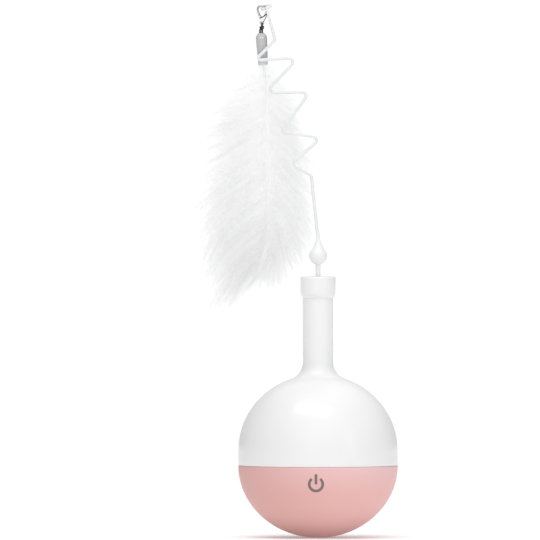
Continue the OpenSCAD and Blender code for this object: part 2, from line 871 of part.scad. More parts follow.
// Cast ballast, dished to follow the bowl, on three bosses
module ballast_weight() {
    color([0.25, 0.25, 0.27])
        difference() {
            rotate_extrude()
                polygon([
                    [0, ballast_z],
                    [ballast_low_r, ballast_z],
                    [ballast_r, ballast_edge_z],
                    [ballast_r, ballast_top],
                    [0, ballast_top]
                ]);
            for (a = ballast_angles)
                rotate(a)
                    translate([ballast_screw_r, 0, ballast_z - 1]) {
                        cylinder(r = screw_r + seat_gap, h = ballast_h + 2);
                        translate([0, 0, 1 + ballast_h - head_h - seat_gap])
                            cylinder(r = head_r + seat_gap, h = ballast_h);
                    }
        }
}

module ballast_screws() {
    seat = ballast_top - head_h - seat_gap;
    tip = bowl_in_z(ballast_screw_r) - wall + boss_skin + part_gap;
    color([0.7, 0.7, 0.72])
        for (a = ballast_angles)
            rotate(a)
                translate([ballast_screw_r, 0, seat])
                    screw(seat - tip);
}

module battery_pad() {
    color([0.2, 0.2, 0.2])
        translate([-cell_w / 2 + 2, cell_y - cell_d / 2 + 2, ballast_top])
            cube([cell_w - 4, cell_d - 4, pad_t]);
}

// Soft-pack cell: two rounded long edges and a taped head
module battery_cell() {
    edge_r = cell_h / 2;
    head = 3;
    color([0.75, 0.77, 0.8])
        translate([-cell_w / 2, cell_y, cell_z])
            union() {
                for (s = [-1, 1])
                    translate([0, s * (cell_d / 2 - edge_r), edge_r])
                        rotate([0, 90, 0])
                            cylinder(r = edge_r, h = cell_w - head);
                translate([0, -cell_d / 2 + edge_r, 0])
                    cube([cell_w - head, cell_d - 2 * edge_r, cell_h]);
                translate([cell_w - head - EPS, -cell_d / 2 + edge_r, 1])
                    cube([head + EPS, cell_d - 2 * edge_r, cell_h - 2]);
            }
}

// Chassis plate on the bowl's posts, with the gear cover's posts above and the board's standoffs below
module chassis_plate() {
    color([0.55, 0.56, 0.58])
        difference() {
            union() {
                translate([0, 0, chassis_z])
                    cylinder(r = chassis_r, h = chassis_t);
                for (a = cover_angles)
                    rotate(a)
                        translate([cover_ring_r, 0, chassis_z])
                            cylinder(r = cover_post_r, h = cover_z - chassis_z);
                for (s = [-1, 1])
                    translate([s * board_screw_x, board_screw_y, board_z + board_t])
                        cylinder(r = standoff_r, h = board_drop + EPS);
            }
            translate([0, 0, chassis_z - 1])
                cylinder(r = bush_r, h = chassis_t + 2);
            translate([idler_at.x, idler_at.y, chassis_z - 1])
                cylinder(r = axle_r, h = chassis_t + 2);
            translate([motor_at.x, motor_at.y, chassis_z - 1])
                cylinder(r = motor_shaft_r + part_gap, h = chassis_t + 2);
            for (s = [-1, 1])
                translate([motor_at.x + s * motor_screw_gap, motor_at.y, chassis_top])
                    sunk_screw(chassis_t + 1, seat_gap);
            for (a = post_angles)
                rotate(a)
                    translate([post_ring_r, 0, chassis_z - 1])
                        cylinder(r = screw_r + seat_gap, h = chassis_t + 2);
            for (a = cover_angles)
                rotate(a)
                    translate([cover_ring_r, 0, cover_z - cover_bite - 1])
                        cylinder(r = screw_r + run_gap, h = cover_bite + 2);
            for (s = [-1, 1])
                translate([s * board_screw_x, board_screw_y, board_z])
                    cylinder(r = screw_r + run_gap, h = chassis_z + 1 - board_z);
        }
}

module chassis_screws() {
    color([0.7, 0.7, 0.72])
        for (a = post_angles)
            rotate(a)
                translate([post_ring_r, 0, chassis_top])
                    screw(chassis_t + post_bite);
}

// Plate over the gear train that carries the upper ends of the shaft and the axle
module gear_cover() {
    color([0.62, 0.63, 0.65])
        difference() {
            translate([0, 0, cover_z])
                cylinder(r = cover_r, h = cover_t);
            translate([0, 0, cover_z - 1])
                cylinder(r = bush_r, h = cover_t + 2);
            translate([idler_at.x, idler_at.y, cover_z - 1])
                cylinder(r = axle_r, h = cover_t + 2);
            for (a = cover_angles)
                rotate(a)
                    translate([cover_ring_r, 0, cover_z - 1])
                        cylinder(r = screw_r + seat_gap, h = cover_t + 2);
        }
}

module cover_screws() {
    color([0.7, 0.7, 0.72])
        for (a = cover_angles)
            rotate(a)
                translate([cover_ring_r, 0, cover_top])
                    screw(cover_t + cover_bite);
}

// Small motor with two flats, hung under the chassis
module motor_form(z, height) {
    translate([motor_at.x, motor_at.y, z])
        intersection() {
            cylinder(r = motor_w / 2, h = height);
            translate([-motor_w / 2, -motor_d / 2, 0])
                cube([motor_w, motor_d, height]);
        }
}

// A small countersunk screw with its head flush at z = 0
module sunk_screw(length, room) {
    sunk_r = sunk_shank_r + room;
    translate([0, 0, -sunk_r])
        cylinder(r1 = sunk_r, r2 = 2 * sunk_r, h = sunk_r);
    translate([0, 0, -length - room])
        cylinder(r = sunk_r, h = length);
}

module motor_can() {
    can_h = motor_h - motor_cap_h;
    color([0.78, 0.78, 0.8])
        difference() {
            motor_form(chassis_z - can_h, can_h);
            translate([motor_at.x, motor_at.y, chassis_z - rotor_depth])
                cylinder(r = motor_shaft_r + run_gap, h = rotor_depth + 1);
            for (s = [-1, 1])
                translate([motor_at.x + s * motor_screw_gap, motor_at.y, chassis_z - 2])
                    cylinder(r = sunk_shank_r, h = 3);
        }
}

module motor_endcap() {
    color([0.9, 0.9, 0.88])
        motor_form(chassis_z - motor_h, motor_cap_h);
}

module motor_shaft() {
    bottom = chassis_z - rotor_depth + end_play;
    color([0.8, 0.8, 0.82])
        translate([motor_at.x, motor_at.y, bottom])
            cylinder(r = motor_shaft_r, h = lower_z + gear_w + 0.4 - bottom);
}

module motor_pinion() {
    color([0.85, 0.68, 0.3])
        translate([motor_at.x, motor_at.y, 0])
            difference() {
                gear(pinion_teeth, lower_z, gear_w, motor_turn + 180 + 180 / pinion_teeth);
                translate([0, 0, lower_z - 1])
                    cylinder(r = motor_shaft_r, h = gear_w + 2);
            }
}

module motor_screws() {
    color([0.7, 0.7, 0.72])
        for (s = [-1, 1])
            translate([motor_at.x + s * motor_screw_gap, motor_at.y, chassis_top])
                sunk_screw(chassis_t + 1.5, 0);
}

// Compound idler: a large wheel below, a pinion above and a thrust collar at each end
module idler_gear() {
    bottom = chassis_top + end_play;
    height = cover_z - end_play - bottom;
    color([0.93, 0.93, 0.9])
        translate([idler_at.x, idler_at.y, 0])
            difference() {
                union() {
                    translate([0, 0, bottom])
                        cylinder(r = axle_r + 1.2, h = height);
                    gear(idler_teeth, lower_z, gear_w, motor_turn);
                    gear(pinion_teeth, lower_z + EPS, upper_z + gear_w - lower_z - EPS,
                        idler_turn + 180 + 180 / pinion_teeth);
                }
                translate([0, 0, bottom - 1])
                    cylinder(r = axle_r + run_gap, h = height + 2);
            }
}

module idler_axle() {
    color([0.8, 0.8, 0.82])
        translate([idler_at.x, idler_at.y, chassis_z])
            cylinder(r = axle_r, h = cover_top - chassis_z);
}

// Output gear, with a hub that is pressed on the shaft
module output_gear() {
    bottom = chassis_top + bush_flange_t + end_play;
    height = cover_z - end_play - bottom;
    color([0.93, 0.93, 0.9])
        difference() {
            union() {
                translate([0, 0, bottom])
                    cylinder(r = shaft_r + 2, h = height);
                gear(output_teeth, upper_z, gear_w, idler_turn);
            }
            translate([0, 0, bottom - 1])
                cylinder(r = shaft_r, h = height + 2);
        }
}

module output_shaft() {
    color([0.8, 0.8, 0.82])
        difference() {
            translate([0, 0, shaft_z])
                cylinder(r = shaft_r, h = shaft_top - shaft_z);
            translate([0, 0, clip_z])
                difference() {
                    cylinder(r = shaft_r + 1, h = clip_t);
                    translate([0, 0, -1])
                        cylinder(r = shaft_r - clip_bite, h = clip_t + 2);
                }
        }
}

// Closed lower bush: its floor carries the shaft's end
module lower_bush() {
    color([0.8, 0.62, 0.28])
        rotate_extrude()
            polygon([
                [0, chassis_top - bush_depth],
                [bush_r, chassis_top - bush_depth],
                [bush_r, chassis_top],
                [bush_flange_r, chassis_top],
                [bush_flange_r, chassis_top + bush_flange_t],
                [shaft_r + run_gap, chassis_top + bush_flange_t],
                [shaft_r + run_gap, chassis_top - bush_depth + bush_floor],
                [0, chassis_top - bush_depth + bush_floor]
            ]);
}

module upper_bush() {
    color([0.8, 0.62, 0.28])
        rotate_extrude()
            polygon([
                [shaft_r + run_gap, cover_z],
                [bush_r, cover_z],
                [bush_r, cover_top],
                [bush_flange_r, cover_top],
                [bush_flange_r, cover_top + bush_flange_t],
                [shaft_r + run_gap, cover_top + bush_flange_t]
            ]);
}

// Half-disc weight that is swung round by the shaft and makes the ball rock
module eccentric_weight() {
    color([0.45, 0.46, 0.48])
        difference() {
            union() {
                translate([0, 0, swing_hub_z])
                    cylinder(r = swing_hub_r, h = swing_top - swing_hub_z);
                translate([0, 0, swing_z])
                    difference() {
                        cylinder(r = swing_r, h = swing_t);
                        translate([-swing_r - 1, -swing_r - 1, -1])
                            cube([swing_r + 1, 2 * swing_r + 2, swing_t + 2]);
                    }
            }
            translate([0, 0, swing_hub_z - 1])
                cylinder(r = shaft_r, h = swing_top - swing_hub_z + 2);
            translate([0, 0, grub_z])
                rotate([0, -90, 0])
                    cylinder(r = grub_r, h = swing_hub_r + 1);
        }
}

module grub_screw() {
    hex_af = 1.1;
    color([0.3, 0.3, 0.32])
        translate([-shaft_r, 0, grub_z])
            rotate([0, -90, 0])
                difference() {
                    cylinder(r = grub_r, h = swing_hub_r - shaft_r - 0.4);
                    translate([0, 0, 1.4])
                        cylinder(d = hex_af / cos(30), h = swing_hub_r, $fn = 6);
                    grub_seat();
                }
}

// The grub screw's point is cut to the shaft's round
module grub_seat() {
    translate([-grub_r - 1, 0, -shaft_r])
        rotate([0, 90, 0])
            cylinder(r = shaft_r, h = 2 * grub_r + 2);
}

module shaft_clip() {
    color([0.3, 0.3, 0.32])
        translate([0, 0, clip_z])
            difference() {
                cylinder(r = shaft_r + 1.6, h = clip_t);
                translate([0, 0, -1])
                    cylinder(r = shaft_r - clip_bite, h = clip_t + 2);
                translate([0, -shaft_r + clip_bite + 0.2, -1])
                    cube([shaft_r + 2, 2 * (shaft_r - clip_bite - 0.2), clip_t + 2]);
            }
}

// Charging board and what is soldered to it
module usb_outline(room) {
    w = usb_w + 2 * room;
    h = usb_h + 2 * room;
    r = usb_corner + room;
    square([w - 2 * r, h], center = true);
    square([w, h - 2 * r], center = true);
    for (sx = [-1, 1])
        for (sy = [-1, 1])
            translate([sx * (w / 2 - r), sy * (h / 2 - r)])
                circle(r = r);
}
module usb_block(room, depth) {
    translate([0, usb_face - depth, usb_mid])
        rotate([-90, 0, 0])
            linear_extrude(depth + EPS)
                usb_outline(room);
}

module circuit_board() {
    color([0.1, 0.38, 0.2])
        difference() {
            translate([-board_w / 2, board_y, board_z])
                cube([board_w, board_d, board_t]);
            for (s = [-1, 1])
                translate([s * board_screw_x, board_screw_y, board_z - 1])
                    cylinder(r = screw_r + seat_gap, h = board_t + 2);
        }
}

// Two lead plugs and the charge light's chip below the board, a controller and small parts above it
module board_parts() {
    above = board_z + board_t;
    chip = [5, 5, 0.9];
    bead = [1.2, 2, 0.7];
    coil = [3, 2.4, 1.1];
    color([0.12, 0.12, 0.13]) {
        for (x = plug_x)
            translate([x - plug_w / 2, board_y + 0.5, board_z - plug_h])
                cube([plug_w, plug_d, plug_h]);
        translate([light_x - 1.2, light_back - light_chip_d, usb_mid - 1])
            cube([2.4, light_chip_d, board_z - usb_mid + 1]);
        translate([-chip.x / 2, board_y + board_d * 0.4, above])
            cube(chip);
        for (x = [-7, -5, 5, 7])
            translate([x - bead.x / 2, board_y + board_d * 0.6, above])
                cube(bead);
        translate([-9.5, board_y + board_d * 0.73, above])
            cube(coil);
    }
}

module board_screws() {
    color([0.7, 0.7, 0.72])
        for (s = [-1, 1])
            translate([s * board_screw_x, board_screw_y, board_z])
                mirror([0, 0, 1])
                    screw(board_t + board_drop + 0.8);
}

// Charging socket: a rounded steel shell, open at the back of the bowl, with its contact tongue
module usb_socket() {
    back = 0.8;
    color([0.78, 0.79, 0.8])
        difference() {
            usb_block(0, usb_d);
            usb_block(-usb_shell, usb_d - back);
        }
}

module usb_tongue() {
    tongue_w = usb_w - 2.3;
    tongue_d = usb_d - 0.8 - 1.1;
    color([0.1, 0.1, 0.1])
        translate([-tongue_w / 2, usb_face - usb_d + 0.8, usb_mid - usb_tongue_t / 2])
            cube([tongue_w, tongue_d, usb_tongue_t]);
}

// Light pipe that brings the charge light to the bowl's surface
module charge_light() {
    color([0.9, 0.95, 0.95])
        translate([light_x, light_back, usb_mid])
            rotate([-90, 0, 0])
                cylinder(r = light_r, h = light_face - light_back);
}

// Copper electrode glued behind the power mark, clear of the dome's spigot
module touch_pad() {
    color([0.75, 0.45, 0.25])
        rotate(mark_turn)
            intersection() {
                bowl_skin(-wall - touch_t, touch_t, 90);
                translate([0, 0, touch_z])
                    rotate([90, 0, 0])
                        cylinder(r = touch_r, h = ball_r);
            }
}

// Insulated leads, from the battery, the motor and the touch pad to the board
module battery_leads() {
    start_x = cell_w / 2;
    for (s = [-1, 1])
        color(s < 0 ? [0.75, 0.1, 0.1] : [0.1, 0.1, 0.1])
            lead([
                [start_x, cell_y + 2 * s, cell_z + cell_h / 2],
                [start_x + 2.5 - s, cell_y + 2 * s, cell_z + cell_h / 2],
                [start_x + 4 - s, cell_y + 6, cell_z + cell_h / 2 + 1],
                [start_x + 0.5 - s, cell_y + cell_d / 2 + 6, cell_z + cell_h / 2 + 2.8],
                [(start_x + plug_x[0]) / 2 - s, board_y - 3.5 - s, plug_mid - 1.7],
                [plug_x[0] - s, board_y - 1.5 - s, plug_mid],
                [plug_x[0] - s, board_y + 0.5, plug_mid]
            ]);
}

module motor_leads() {
    back = motor_at.y + motor_d / 2;
    low = chassis_z - motor_h + motor_cap_h / 2;
    for (s = [-1, 1])
        color(s < 0 ? [0.75, 0.1, 0.1] : [0.1, 0.1, 0.1])
            lead([
                [motor_at.x + 2 * s, back, low],
                [motor_at.x + 2 * s, back + 1.2, low],
                [motor_at.x + 2 * s + 1.5, back + 1.6, low + 3.5],
                [plug_x[1] - 3 + 1.2 * s, board_y - 2, plug_mid - 3],
                [plug_x[1] + s, board_y - 0.9, plug_mid],
                [plug_x[1] + s, board_y + 0.5, plug_mid]
            ]);
}

// Runs under the chassis, inside the posts and round the motor
module touch_lead() {
    lead_room = 0.7;
    ring = post_ring_r - post_r - lead_r - lead_room;
    level = chassis_z - 1.5;
    end = [-board_w / 2, board_y + 1.5, board_z + board_t / 2];
    color([0.9, 0.9, 0.88])
        lead(concat(
            [
                [-3, -touch_face + 0.2, touch_z + 1.5],
                [-5, -touch_face + 2.5, touch_z + 1.6]
            ],
            [for (a = [240, 214, 188, 168, 150]) [ring * cos(a), ring * sin(a), level]],
            [
                [motor_at.x - motor_w / 2 - lead_room, motor_at.y + motor_d / 2, level],
                end - [2, 0, 0],
                end
            ]
        ));
}

lower_bowl();
upper_dome();
neck_cap();
wand_socket();
power_mark();
wand_root();
wand_wire();
clasp_hook();
clasp_lever();
clasp_pin();
cord_loop();
feather_ferrule();
feather_quill();
feather_vane();
ballast_weight();
ballast_screws();
battery_pad();
battery_cell();
chassis_plate();
chassis_screws();
gear_cover();
cover_screws();
motor_can();
motor_endcap();
motor_shaft();
motor_pinion();
motor_screws();
idler_gear();
idler_axle();
output_gear();
output_shaft();
lower_bush();
upper_bush();
eccentric_weight();
grub_screw();
shaft_clip();
circuit_board();
board_parts();
board_screws();
usb_socket();
usb_tongue();
charge_light();
touch_pad();
battery_leads();
motor_leads();
touch_lead();
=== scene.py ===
import math
import random

import bpy
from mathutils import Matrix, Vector


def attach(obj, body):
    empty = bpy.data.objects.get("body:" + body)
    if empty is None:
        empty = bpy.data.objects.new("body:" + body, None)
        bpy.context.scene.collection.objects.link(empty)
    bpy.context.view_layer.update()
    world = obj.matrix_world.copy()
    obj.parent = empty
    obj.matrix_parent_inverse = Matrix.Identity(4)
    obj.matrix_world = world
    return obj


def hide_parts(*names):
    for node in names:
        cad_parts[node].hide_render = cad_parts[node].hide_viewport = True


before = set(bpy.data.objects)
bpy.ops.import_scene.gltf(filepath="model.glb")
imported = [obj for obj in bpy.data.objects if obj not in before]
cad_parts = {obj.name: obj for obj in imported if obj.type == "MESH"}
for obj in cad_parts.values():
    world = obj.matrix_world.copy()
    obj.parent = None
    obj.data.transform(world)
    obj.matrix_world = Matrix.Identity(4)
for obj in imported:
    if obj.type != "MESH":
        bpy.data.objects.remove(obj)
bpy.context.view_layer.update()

# Studio
# A pale seamless floor under an even white surround that is a little greyer at the sides,
# with a wide soft box overhead and a smaller one at the front right. A long lens stands a
# little above the foot, square to the power mark.

PALE_FLOOR = (0.76, 0.76, 0.76, 1)
WORN_FLOOR = (0.74, 0.74, 0.74, 1)
FLOOR_SIZE = 30
FLOOR_REACH = 5           # metres from the foot to the far end of the glow's ramp
FLOOR_GLOW = [(0.003, 0.22), (0.012, 0.3), (0.23, 0.28), (0.5, 0.375)]
SURROUND = [
    (0.15, (0.2, 0.2, 0.21, 1)), (0.36, (1.02, 1.02, 1.02, 1)),
    (0.64, (1.02, 1.02, 1.02, 1)), (0.85, (0.26, 0.26, 0.27, 1)),
]
BEHIND = [(0.66, 1), (0.8, 0.55), (0.992, 0.55), (0.9988, 1)]
SKY_LEVEL = 1.02
SKY_LIFT = 0.45           # how much brighter it is straight above
FRAME_WIDTH = 0.2844      # what the photograph's frame takes in at the ball
FRAME_MIDDLE = (-0.02528, 0, 0.1409)
LENS_RISE = math.radians(1.0)
LENS_AWAY = 12.0


class Mix:
    """A shader socket that can stand in a sum; every other node comes from node()."""

    def __init__(self, tree, socket=None):
        self.tree = tree
        self.socket = socket

    def node(self, kind, settings=None, inputs=None, out=0):
        made = self.tree.nodes.new("ShaderNode" + kind)
        for name, value in (settings or {}).items():
            if name == "stops":
                ramp = made.color_ramp
                while len(ramp.elements) < len(value):
                    ramp.elements.new(1)
                for stop, (place, colour) in zip(ramp.elements, value):
                    stop.position = place
                    stop.color = colour
            else:
                setattr(made, name, value)
        for name, value in (inputs or {}).items():
            if isinstance(value, Mix):
                self.tree.links.new(value.socket, made.inputs[name])
            else:
                made.inputs[name].default_value = value
        return Mix(self.tree, made.outputs[out])

    def math(self, operation, a, b):
        return self.node("Math", {"operation": operation}, {0: a, 1: b})

    def __add__(self, other):
        return self.math("ADD", self, other)

    def __radd__(self, other):
        return self.math("ADD", other, self)

    def __sub__(self, other):
        return self.math("SUBTRACT", self, other)

    def __rsub__(self, other):
        return self.math("SUBTRACT", other, self)

    def __mul__(self, other):
        return self.math("MULTIPLY", self, other)

    def __rmul__(self, other):
        return self.math("MULTIPLY", other, self)


def finish(name, **constants):
    """A new material: its shader with these constants set, and the piece's own coordinates."""
    material = bpy.data.materials.new(name)
    material.use_nodes = True
    tree = material.node_tree
    shader = tree.nodes["Principled BSDF"]
    for socket, value in constants.items():
        shader.inputs[socket.replace("_", " ")].default_value = value
    place = Mix(tree).node("TexCoord", out="Object")
    return material, shader, place


def feed(shader, **sockets):
    for name, value in sockets.items():
        value.tree.links.new(value.socket, shader.inputs[name.replace("_", " ")])


def noise(place, size, detail=2.0, rough=0.5):
    """Soft grey noise whose blotches are about size metres across."""
    return place.node("TexNoise", {}, {
        "Vector": place, "Scale": 1 / size, "Detail": detail, "Roughness": rough})


def tint(value, dark, light):
    """Runs from one colour to the other as value goes from 0 to 1."""
    return value.node("Mix", {"data_type": "RGBA"}, {"Factor": value, 6: dark, 7: light}, out=2)


def along(place, axis):
    """How far a point lies along X, Y or Z."""
    return place.node("SeparateXYZ", {}, {0: place}, out=axis)


def clamp(value):
    """Holds a value between 0 and 1."""
    return value.node("Clamp", {}, {0: value})


def greys(value, stops):
    """Greys set out over a value from 0 to 1."""
    return value.node("ValToRGB", {"stops": [(at, (v, v, v, 1)) for at, v in stops]}, {0: value})


def bump(height, depth, strength=1.0):
    return height.node("Bump", {}, {"Height": height, "Distance": depth, "Strength": strength})


bpy.ops.object.select_all(action="DESELECT")
bpy.ops.mesh.primitive_plane_add(size=FLOOR_SIZE, location=(0, 0, -0.00005))
floor = bpy.context.object
floor.name = "floor"
floor_paper, shader, place = finish(
    "floor_paper", Roughness=0.9, Specular_IOR_Level=0.0, Emission_Strength=1.0
)
near = place.node("VectorMath", {"operation": "LENGTH"}, {0: place}, out="Value")
glow = greys(near * (1 / FLOOR_REACH), FLOOR_GLOW)
feed(shader, Base_Color=tint(noise(place, 0.4), WORN_FLOOR, PALE_FLOOR), Emission_Color=glow)
floor.data.materials.append(floor_paper)

surround = bpy.data.worlds.new("surround")
bpy.context.scene.world = surround
surround.use_nodes = True
sky = Mix(surround.node_tree)
ways = sky.node("TexCoord", out="Generated")
wide = along(ways, "X") * 0.5 + 0.5
rise = along(ways, "Z")
# behind the object the surround is greyer round the patch that the lens sees, for darker rims
rim_shade = greys(along(ways, "Y"), BEHIND)
feed(
    surround.node_tree.nodes["Background"],
    Color=wide.node("ValToRGB", {"stops": SURROUND}, {0: wide}),
    Strength=(rise * rise * SKY_LIFT + SKY_LEVEL) * rim_shade,
)


def soft_box(name, at, towards, size, watts):
    bpy.ops.object.light_add(type="AREA", location=at)
    lamp = bpy.context.object
    lamp.name = name
    lamp.rotation_euler = (Vector(towards) - Vector(at)).to_track_quat("-Z", "Y").to_euler()
    lamp.data.shape = "RECTANGLE"
    lamp.data.size, lamp.data.size_y = size
    lamp.data.energy = watts


soft_box("overhead", at=(-0.3, -0.8, 2.2), towards=(0, 0, 0.1), size=(1.7, 0.8), watts=14.2)
soft_box("front_right", at=(1.7, -1.5, 0.5), towards=(0, 0, 0.08), size=(0.6, 1.6), watts=5.2)

bpy.context.scene.view_settings.view_transform = "Standard"
bpy.ops.object.camera_add()
camera = bpy.context.object
camera.rotation_euler = (math.pi / 2 - LENS_RISE, 0, 0)
towards_lens = Vector((0, -math.cos(LENS_RISE), math.sin(LENS_RISE)))
camera.location = Vector(FRAME_MIDDLE) + LENS_AWAY * towards_lens
camera.data.lens = camera.data.sensor_width * LENS_AWAY / FRAME_WIDTH
camera.data.clip_end = 50
bpy.context.scene.camera = camera

# Lower bowl
# The pink half of the body: one ABS moulding with a satin, finely sparked skin, a small flat
# foot, a bevelled rim with a rebate for the dome's spigot, and the charging slot at the back.

BALL_R = 42.0
SEAM_Z = 38.0
FOOT_R = 4.0
WALL = 2.2
SEAM_BEVEL = 0.45
SPIGOT_H = 4.0
SPIGOT_FIT = 0.1
FOOT_EASE = 0.6             # the foot's edge is eased by this much
BOWL_RISE = SEAM_Z / math.sqrt(1 - (FOOT_R / BALL_R) ** 2)
SLOT = (9.24, 3.56, 1.35)   # width, height and corner of the charging slot
SLOT_Z = 26.77
LIGHT_X, LIGHT_R = 8.2, 0.95
CUT_Y, CUT_LONG = BALL_R - 4, 12
PINK = (0.80, 0.47, 0.446, 1)
PINK_PAINTED_SHADE = (0.71, 0.40, 0.372, 1)
PINK_PAINTED_SHEEN = (0.81, 0.55, 0.55, 1)
PAINTED_SHADE_FADE = 13            # the painted shade on the pink's left side fades out to the right, by this much a metre
PAINTED_SHEEN_RISE = 70               # and a painted sheen of paler pink, for the sky's reflection, rises towards the rim from 24 mm up


def lathe(name, outline, steps=144):
    """Turns an outline of (radius, height) in millimetres round the upright axis."""
    bpy.ops.object.select_all(action="DESELECT")
    bpy.ops.mesh.primitive_plane_add(size=1)
    piece = bpy.context.object
    piece.name = name
    bpy.ops.object.mode_set(mode="EDIT")
    bpy.ops.mesh.select_all(action="SELECT")
    bpy.ops.mesh.merge(type="CENTER")
    bpy.ops.transform.translate(value=(outline[0][0], 0, outline[0][1]))
    for (r0, z0), (r1, z1) in zip(outline, outline[1:]):
        bpy.ops.mesh.extrude_region_move(TRANSFORM_OT_translate={"value": (r1 - r0, 0, z1 - z0)})
    bpy.ops.mesh.select_all(action="SELECT")
    bpy.ops.mesh.spin(steps=steps, angle=2 * math.pi, center=(0, 0, 0), axis=(0, 0, 1))
    bpy.ops.mesh.select_all(action="SELECT")
    bpy.ops.mesh.remove_doubles(threshold=0.0005)
    bpy.ops.mesh.normals_make_consistent(inside=False)
    bpy.ops.object.mode_set(mode="OBJECT")
    return piece


def settle(piece, at=(0, 0, 0), turn=(0, 0, 0), smooth=30):
    """Puts a piece drawn in millimetres in its place, in metres, and smooths its faces."""
    bpy.ops.object.select_all(action="DESELECT")
    piece.select_set(True)
    bpy.context.view_layer.objects.active = piece
    piece.rotation_euler = turn
    piece.location = Vector(at) * 0.001
    piece.scale = (0.001, 0.001, 0.001)
    bpy.ops.object.transform_apply(location=True, rotation=True, scale=True)
    bpy.ops.object.shade_smooth_by_angle(angle=math.radians(smooth))


def dress(piece, body, material, slot, *nodes):
    """Gives a new piece its material, hangs it on the body that carries it, and hides the solids that it
    stands for.
    """
    piece.data.materials.clear()
    piece.data.materials.append(material)
    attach(piece, body)
    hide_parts(*nodes)


def coat(material, *nodes):
    for name in nodes:
        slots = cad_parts[name].data.materials
        slots.clear()
        slots.append(material)


def cut(piece, cutter):
    """Takes cutter's shape out of piece, and removes cutter."""
    bpy.context.view_layer.objects.active = piece
    hole = piece.modifiers.new("hole", "BOOLEAN")
    hole.operation = "DIFFERENCE"
    hole.solver = "EXACT"
    hole.object = cutter
    bpy.ops.object.modifier_apply(modifier=hole.name)
    bpy.data.objects.remove(cutter)


def arc(middle, radii, start, end, steps):
    """Points on an ellipse from one angle to another, in degrees."""
    angles = [math.radians(start + (end - start) * i / steps) for i in range(steps + 1)]
    return [(middle[0] + radii[0] * math.cos(a), middle[1] + radii[1] * math.sin(a)) for a in angles]


inner_r = BALL_R - WALL
inner_rise = BOWL_RISE - WALL
foot_turn = math.degrees(math.acos(FOOT_R / BALL_R))
bevel_turn = math.degrees(math.asin(SEAM_BEVEL / BOWL_RISE))
rim_turn = math.degrees(math.asin(SPIGOT_H / inner_rise))
bowl_outline = (
    [(0, 0), (FOOT_R - FOOT_EASE, 0)]
    + arc((0, SEAM_Z), (BALL_R, BOWL_RISE), -foot_turn + 0.4, -bevel_turn, 48)
    + [(BALL_R - SEAM_BEVEL * 0.2, SEAM_Z - SEAM_BEVEL * 0.3), (BALL_R - SEAM_BEVEL, SEAM_Z)]
    + [(inner_r + SPIGOT_FIT, SEAM_Z), (inner_r + SPIGOT_FIT, SEAM_Z - SPIGOT_H)]
    + arc((0, SEAM_Z), (inner_r, inner_rise), -rim_turn, -90, 32)
)
bowl = lathe("bowl", bowl_outline, 180)

bpy.ops.object.select_all(action="DESELECT")
bpy.ops.mesh.primitive_cube_add(size=1, location=(0, CUT_Y, SLOT_Z), scale=(SLOT[0], CUT_LONG, SLOT[1]))
slot_cutter = bpy.context.object
bpy.ops.object.transform_apply(location=True, rotation=True, scale=True)
bpy.ops.object.mode_set(mode="EDIT")
bpy.ops.mesh.select_all(action="DESELECT")
bpy.ops.object.mode_set(mode="OBJECT")
corners = slot_cutter.data
for edge in corners.edges:
    a, b = (corners.vertices[i].co for i in edge.vertices)
    edge.select = abs(a.y - b.y) > 1
bpy.ops.object.mode_set(mode="EDIT")
bpy.ops.mesh.select_mode(type="EDGE")
bpy.ops.mesh.bevel(offset=SLOT[2], segments=8, affect="EDGES")
bpy.ops.mesh.select_mode(type="VERT")
bpy.ops.object.mode_set(mode="OBJECT")
cut(bowl, slot_cutter)
bpy.ops.object.select_all(action="DESELECT")
bpy.ops.mesh.primitive_cylinder_add(
    vertices=40, radius=LIGHT_R, depth=CUT_LONG,
    location=(LIGHT_X, CUT_Y, SLOT_Z), rotation=(math.pi / 2, 0, 0),
)
light_cutter = bpy.context.object
bpy.ops.object.transform_apply(location=True, rotation=True, scale=True)
cut(bowl, light_cutter)
settle(bowl, smooth=35)

pink_shell, shader, place = finish("pink_shell", Specular_IOR_Level=0.3)
grain = noise(place, 0.0006, 3.0)
# painted shade: the pink is deeper on its left side, where less light falls, and paler to the right; the
# noise adds an uneven tone
side = clamp(noise(place, 0.02) * 0.12 + along(place, "X") * PAINTED_SHADE_FADE + 0.5)
# painted reflection: a paler, cooler pink towards the rim, on the lit right side, stands in for the sky's
# sheen there
painted_sheen = clamp(along(place, "Z") * PAINTED_SHEEN_RISE - 1.7)
feed(
    shader,
    Base_Color=tint(painted_sheen * side, tint(side, PINK_PAINTED_SHADE, PINK), PINK_PAINTED_SHEEN),
    Roughness=grain * 0.08 + 0.42,
    Normal=bump(grain, 0.00002, 0.5),
)
dress(bowl, "housing", pink_shell, "pink_shell", "lower_bowl")

# Ballast
# A dark cast weight, dished to lie in the bowl, on three moulded bosses. Three zinc-plated
# pan-head screws hold it, and it brings the ball upright again.


def cast_metal(name, dark, light, grit):
    material, shader, place = finish(name, Metallic=0.9)
    sand = noise(place, grit, 4.0)
    feed(shader, Base_Color=tint(sand, dark, light), Roughness=sand * 0.25 + 0.5,
         Normal=bump(sand, 0.0001, 0.6))
    return material


def bright_metal(name, dark, light, polish, run):
    """Drawn or turned metal: fine lines that lie across the axis named by run."""
    material, shader, place = finish(name, Metallic=1.0)
    stretch = {"x": (40, 4000, 4000), "y": (4000, 40, 4000), "z": (4000, 4000, 120)}[run]
    drawn = place.node("Mapping", {}, {"Vector": place, "Scale": stretch})
    lines = place.node("TexNoise", {}, {"Vector": drawn, "Scale": 1.0, "Detail": 2.0})
    feed(shader, Base_Color=tint(lines, dark, light), Roughness=lines * 0.12 + polish,
         Normal=bump(lines, 0.00001, 0.3))
    return material


